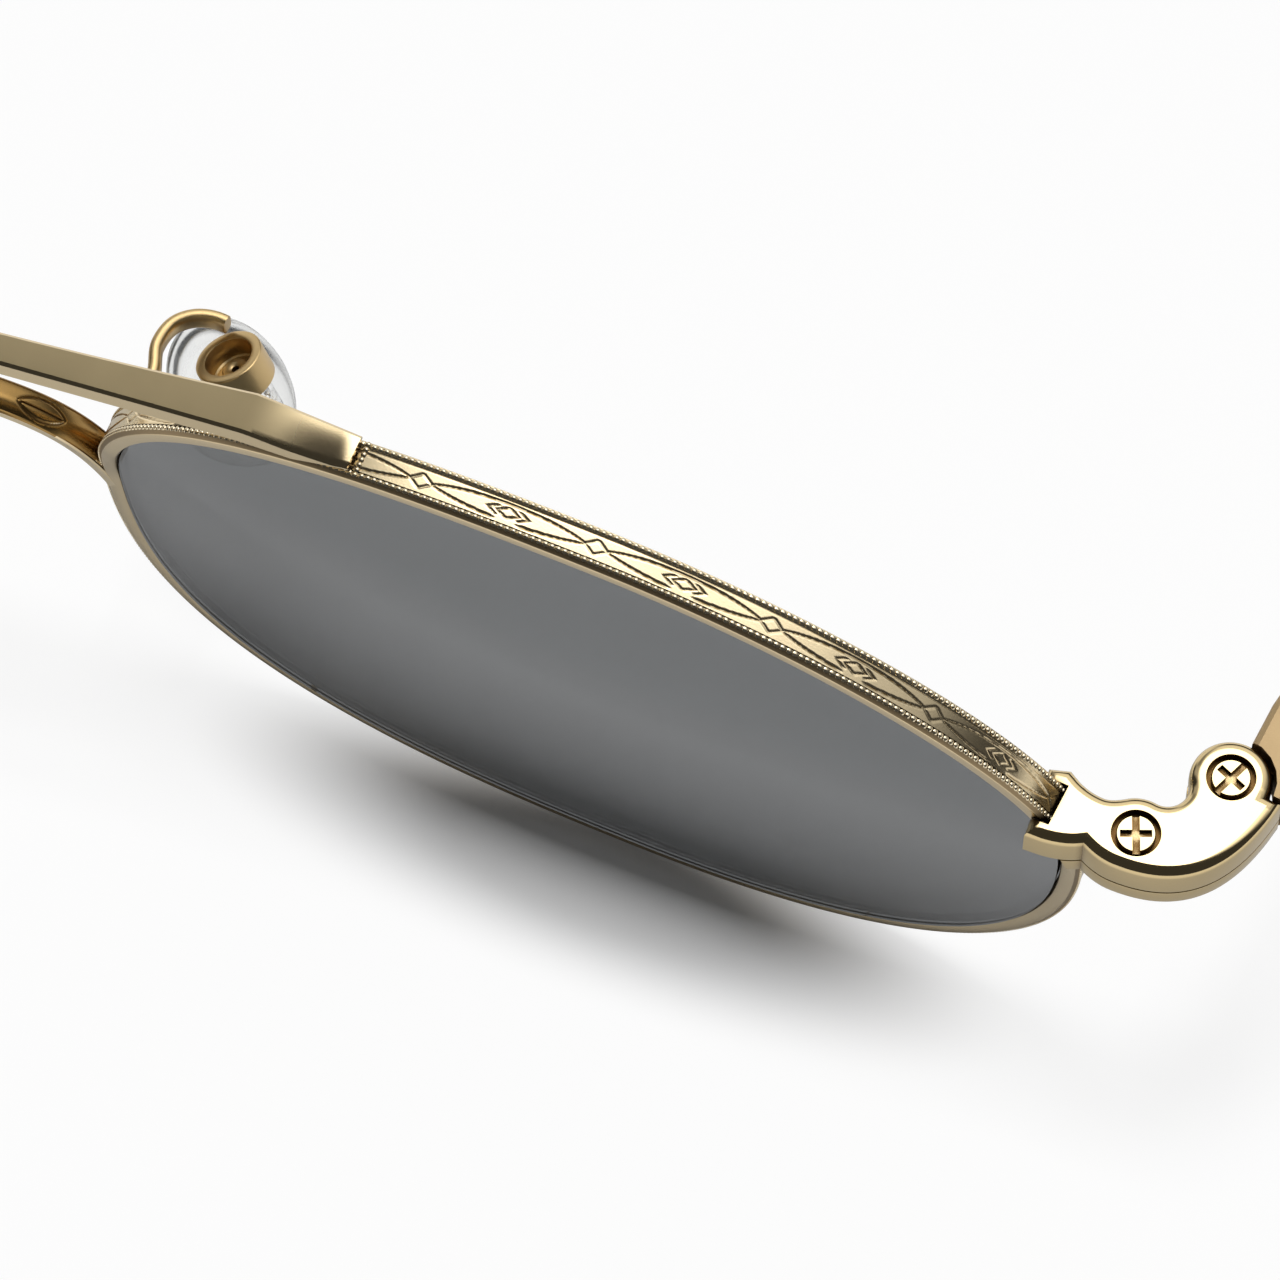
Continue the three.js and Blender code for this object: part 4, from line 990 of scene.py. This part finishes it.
for side in SIDES:
    dress(f"hinge_leaf_{side}", bright_gold, 0.05)
    dress(f"temple_{side}", brushed_gold, 0.08)
print("metal solids finished")

# %% [markdown]
# ## Nose pads
# A pad is a soft oval cushion with a stem that plugs into the cup. It is cast in one from clear
# silicone, so the cushion, the stem and the neck between them are joined with Boolean modifiers and
# the hole for the eyelet is cut last. A clear body shows mostly by its outline, where light has the
# longest way through it, so the Layer Weight node paints what is seen edge-on darker, as painted shade.

# %% Cast the pads
PAD_WIDE, PAD_LONG, PAD_THICK, PAD_STEPS = 2.9, 6.0, 2.0, 72
pad_up, facing = unit([-0.3, 0, 0.95]), unit([-0.75, 0.62, -0.24])
facing = unit(facing - pad_up * (facing @ pad_up))
pad_middle, pad_side = CUP + [-1.35, 1.76, -6.9], np.cross(pad_up, facing)


def cushion_ring(share, height):
    turn = whole_turn(PAD_STEPS)[:, None]
    oval = PAD_WIDE * np.cos(turn) * pad_side + PAD_LONG * np.sin(turn) * pad_up
    return pad_middle + share * oval + height * facing


shares = np.array([0.03, 0.3, 0.5, 0.65, 0.76, 0.85, 0.91, 0.955, 0.985])
swells = PAD_THICK / 2 * np.sqrt(1 - shares ** 6)
cushion = [cushion_ring(share, -swell) for share, swell in zip(shares, swells)] + [cushion_ring(1.0, 0.0)]
cushion += [cushion_ring(share, swell) for share, swell in zip(shares[::-1], swells[::-1])]
cushion = np.concatenate(cushion), tube(len(cushion), PAD_STEPS, closed=False)


def rod(start, stop, radius, steps=40):
    """A round bar with chamfered ends."""
    along = unit(stop - start)
    first = unit(np.cross(along, [0, 1, 0]))
    turn = whole_turn(steps)[:, None]
    ring = radius * (np.cos(turn) * first + np.sin(turn) * np.cross(along, first))
    rows = [start + 0.85 * ring, start + 0.12 * along + ring, stop - 0.12 * along + ring, stop + 0.85 * ring]
    return np.concatenate(rows), tube(len(rows), steps, closed=False)


STEM_RADIUS, STEM_LENGTH, NECK_RADIUS, STEM_TOP = 1.15, 2.3, 0.85, -1.05
PLUG_RADIUS, PLUG_BOTTOM, PLUG_TOP = 0.57, -2.35, 1.0
stem_out = unit(STEM_UP * (facing @ STEM_UP) - facing)
neck_start = CUP + STEM_UP * (STEM_TOP - STEM_LENGTH + NECK_RADIUS)
neck_length = (pad_middle - neck_start) @ facing / -(stem_out @ facing)
stem = rod(CUP + STEM_UP * (STEM_TOP - STEM_LENGTH), CUP + STEM_UP * STEM_TOP, STEM_RADIUS)
neck = rod(neck_start, neck_start - stem_out * neck_length, NECK_RADIUS)
plug_hole = rod(CUP + STEM_UP * PLUG_BOTTOM, CUP + STEM_UP * PLUG_TOP, PLUG_RADIUS)

clear_pad, shade, shader = finish("clear_pad", Transmission_Weight=1.0, IOR=1.41)
haze = grain(shade, 300, 3)
edge_on = shade.node("ShaderNodeLayerWeight", sockets={"Blend": 0.5}, out="Facing")
edge_on = shade.maths("POWER", edge_on, 2.5)
cast = haze.between((0.97, 0.97, 0.96, 1), (0.93, 0.94, 0.93, 1))
# Painted shade: the colour darkens where the pad is seen edge-on.
shade.feed(shader["Base Color"], edge_on.between(cast, (0.12, 0.115, 0.11, 1)))
shade.feed(shader["Roughness"], 0.04 + haze * 0.1)
castings = (("UNION", stem), ("UNION", neck), ("DIFFERENCE", plug_hole))
for side in SIDES:
    shape = on_side(side, cushion)
    pad = piece(f"cast_nose_pad_{side}", *shape, [clear_pad], body=f"{side}_pad", slot="pad")
    carve(pad, [(operation, *on_side(side, tool)) for operation, tool in castings], sharp=40)
    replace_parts(pad, f"nose_pad_{side}")
print("pads:", len(pad.data.vertices), "points, neck", round(neck_length, 2), "mm")

# %% [markdown]
# ## Temple tips
# The tips are tortoiseshell plastic, two colours that flow into each other in soft patches. A stretched
# noise drives the mix, and a clear coat on top gives the deep polish.

# %% Finish the tips
tortoise, shade, shader = finish("tortoise_tip", Coat_Weight=0.7, Coat_Roughness=0.05)
patches = grain(shade, 130, 3, (1, 0.55, 1))
DARK_HORN, BROWN_HORN, HONEY_HORN = (0.016, 0.007, 0.004, 1), (0.12, 0.04, 0.012, 1), (0.45, 0.19, 0.05, 1)
stops = {"stops": [(0.36, DARK_HORN), (0.5, BROWN_HORN), (0.66, HONEY_HORN)]}
shade.feed(shader["Base Color"], shade.node("ShaderNodeValToRGB", stops, {"Fac": patches}))
shade.feed(shader["Roughness"], 0.18 + patches * 0.12)
for side in SIDES:
    dress(f"temple_tip_{side}", tortoise, sharp=60)
print("tips finished")

# %% [markdown]
# ## Camera
# The photograph was taken close to, from above and a little to the wearer's left, with a long lens.
# The camera's place was found by matching known points of the frame to the picture. It is set up from
# the direction towards the camera, the picture's right and its up, which are the camera's own axes.

# %% Place the camera
AZIMUTH, ELEVATION, DISTANCE, FOCAL = math.radians(23.5), math.radians(66), 400.0, 8428.0
AIM, AIM_PIXEL, PICTURE = Vector((36.42, -0.028, 27.618)), (600, 672), 1280

level = math.cos(ELEVATION)
towards = Vector((math.sin(AZIMUTH) * level, -math.cos(AZIMUTH) * level, math.sin(ELEVATION)))
right = Vector((math.cos(AZIMUTH), math.sin(AZIMUTH), 0))
upward = towards.cross(right)
aside, below = ((pixel - PICTURE / 2) / FOCAL * DISTANCE for pixel in AIM_PIXEL)
stand = AIM + Vector((0, eye[1], 0)) + towards * DISTANCE - right * aside + upward * below

camera = in_scene("camera", bpy.data.cameras.new("camera"))
camera.data.sensor_width = 36
camera.data.lens = FOCAL / PICTURE * camera.data.sensor_width
camera.data.clip_start = 0.01
axes = Matrix((right, upward, towards)).transposed().to_4x4()
camera.matrix_world = Matrix.Translation(stand * MM) @ axes
bpy.context.scene.camera = camera
print("camera lens:", round(camera.data.lens, 1), "mm, at", [round(v, 1) for v in stand])

# %% [markdown]
# ## Floor
# The glasses stand on white paper that the camera sees as plain white. Part of that white is the paper's
# own glow, for rays that come from the camera, off the metal or through the glass. The glow fades out
# close to the front, so that the shadow at its foot keeps its full depth. For the metal the paper is painted
# darker there, a painted dark reflection such as grey cards round the glasses would give, for contrast on
# their edges. Through the glass the paper brightens from the front to the back, which makes each lens
# darker towards its lower edge.

# %% Lay the paper
def stage_mesh(name, points, faces, material):
    """Something round the glasses, in metres, that isn't part of them."""
    made = mesh_object(name, points, faces, scale=1)
    made.data.materials.append(material)
    return made


def rays(shade, *kinds):
    """1 for rays of these kinds, otherwise 0."""
    found = [shade.node("ShaderNodeLightPath", out=f"Is {kind} Ray") for kind in kinds]
    return shade.maths("MINIMUM", sum(found[1:], found[0]), 1.0)


def ease(shade, value, start, stop):
    """Rises softly from 0 to 1 as the value goes from start to stop."""
    sockets = {"Value": value, 1: start, 2: stop, 3: 0.0, 4: 1.0}
    return shade.node("ShaderNodeMapRange", {"interpolation_type": "SMOOTHSTEP"}, sockets)


paper, shade, shader = finish("white_table", Roughness=0.6, Specular_IOR_Level=0.3)
tooth = grain(shade, 500, 2)
shade.feed(shader["Base Color"], tooth.between((0.93, 0.93, 0.93, 1), (0.91, 0.91, 0.91, 1)))
place = shade.node("ShaderNodeTexCoord", out="Object")
x, y = (shade.node("ShaderNodeSeparateXYZ", sockets={0: place}, out=axis) for axis in "XY")
place = shade.node("ShaderNodeCombineXYZ", sockets={"X": shade.maths("ABSOLUTE", x, 0.0), "Y": y})


def from_foot(across, along, wide, deep):
    """Distance from where a lens meets the paper, counted in ovals of this size."""
    moved, scale = (-across / wide, -along / deep, 0), (1 / wide / MM, 1 / deep / MM, 0)
    scaled = shade.node("ShaderNodeMapping", sockets={"Vector": place, "Location": moved, "Scale": scale})
    return shade.node("ShaderNodeVectorMath", {"operation": "LENGTH"}, {0: scaled}, out="Value")


to_camera = rays(shade, "Camera")
to_metal = rays(shade, "Glossy") * (1 - to_camera)
to_glass = rays(shade, "Transmission") * (1 - to_camera)
near = ease(shade, from_foot(35.8, eye[1] + 0.6, 12.6, 3.4), 0.6, 1.9)
far = ease(shade, from_foot(36.5, eye[1], 40.0, 16.0), 0.8, 4.0)
behind = ease(shade, y, (eye[1] + 3) * MM, (eye[1] + 9.5) * MM)
GLOW, REFLECTION_DIMMING = 0.85, 0.45
glow = GLOW * (near * to_camera + far * to_metal + behind * to_glass)
lit = Shade(paper.node_tree, paper.node_tree.nodes["Principled BSDF"].outputs[0])
black = shade.node("ShaderNodeEmission", sockets={"Strength": 0.0})
white = shade.node("ShaderNodeEmission", sockets={"Strength": 1.0})
# Painted reflection: near the glasses the paper is dimmed towards black for the metal's reflections.
lit = shade.node("ShaderNodeMixShader", sockets={0: REFLECTION_DIMMING * (1 - far) * to_metal, 1: lit, 2: black})
table_top = shade.node("ShaderNodeMixShader", sockets={0: glow, 1: lit, 2: white})
shade.feed(paper.node_tree.nodes["Material Output"].inputs["Surface"], table_top)
TABLE_HALF = 6
corners = [(x * TABLE_HALF, y * TABLE_HALF, 0) for x, y in ((-1, -1), (1, -1), (1, 1), (-1, 1))]
floor = stage_mesh("table", corners, [(0, 1, 2, 3)], paper)
floor.location.z = -0.05 * MM
print("paper:", [round(v, 1) for v in floor.dimensions])

# %% [markdown]
# ## Light and what the metal mirrors
# One soft lamp hangs straight overhead and throws a short shadow. Polished metal shows its surroundings,
# so those are built too: a dome that only the metal sees. It is bright where the flat tops mirror it
# to the camera, half bright round that and to the back, and dark on the camera's side, as a
# photographer's black cards would make it.

# %% Hang the lamp and build the dome
light = bpy.data.lights.new("soft_lamp", "AREA")
light.shape, light.size, light.energy = "SQUARE", 0.13, 3.9
lamp = in_scene("soft_lamp", light)
lamp.location = (0.035, -0.08, 0.7)
lamp.visible_camera = lamp.visible_glossy = lamp.visible_transmission = False

walls = bpy.data.materials.new("studio_walls")
walls.use_nodes = True
shade = Shade(walls.node_tree)
place = shade.node("ShaderNodeTexCoord", out="Object")
place = shade.node("ShaderNodeVectorMath", {"operation": "NORMALIZE"}, {0: place})
x, y, z = (shade.node("ShaderNodeSeparateXYZ", sockets={0: place}, out=axis) for axis in "XYZ")
CORE = (-0.16, 0.38, 0.91)
from_core = shade.node("ShaderNodeVectorMath", {"operation": "DISTANCE"}, {0: place, 1: CORE}, out="Value")
core = ease(shade, from_core, 0.3, 0.16)
sheet = ease(shade, y, 0.0, 0.16) * ease(shade, z, 0.2, 0.6) * (0.5 + 0.5 * ease(shade, y, 0.36, 0.27))
sheet = sheet * (0.45 * ease(shade, x, 0.95, 0.5)
                 + 1.75 * ease(shade, x, -0.55, -0.3) * ease(shade, x, 0.65, 0.25)
                 + 0.45 * ease(shade, x, 0.25, 0.6) * ease(shade, x, 1.0, 0.75))
window = ease(shade, x, -0.3, -0.65) * ease(shade, y, 0.25, 0.5) * ease(shade, z, 0.6, 0.3)
strength = 0.05 + sheet + 1.9 * core + 0.9 * window
emission = shade.node("ShaderNodeEmission", sockets={"Strength": strength})
shade.feed(walls.node_tree.nodes["Material Output"].inputs["Surface"], emission)

TURNS, LEVELS, REACH = 48, 12, 1.0
dome = [(REACH * math.cos(up) * math.cos(turn), REACH * math.cos(up) * math.sin(turn), REACH * math.sin(up))
        for up in np.linspace(0, math.pi / 2 - 0.02, LEVELS) for turn in whole_turn(TURNS)]
dome_faces = [face[::-1] for face in tube(LEVELS, TURNS, closed=False)[:-2]]
room = stage_mesh("studio_walls", dome, dome_faces, walls)
room.visible_camera = room.visible_diffuse = room.visible_shadow = room.visible_transmission = False
print("lamp:", light.energy, "W at", [round(v, 2) for v in lamp.location])

# %% [markdown]
# ## World light
# A room's walls throw a little light into every shadow, and a grey world does that here. For rays that
# come from the camera, off the metal or through the glass the same world is plain white, so that the
# white of the paper has no edge at the horizon.

# %% Fill the shadows
world = bpy.data.worlds.new("studio")
bpy.context.scene.world = world
world.use_nodes = True
shade = Shade(world.node_tree)
FILL = 0.12
sky = world.node_tree.nodes["Background"].inputs
sky["Color"].default_value = (1, 1, 1, 1)
shade.feed(sky["Strength"], FILL + rays(shade, "Camera", "Glossy", "Transmission") * (1 - FILL))
bpy.context.scene.view_settings.view_transform = "Standard"
print("fill light:", FILL)
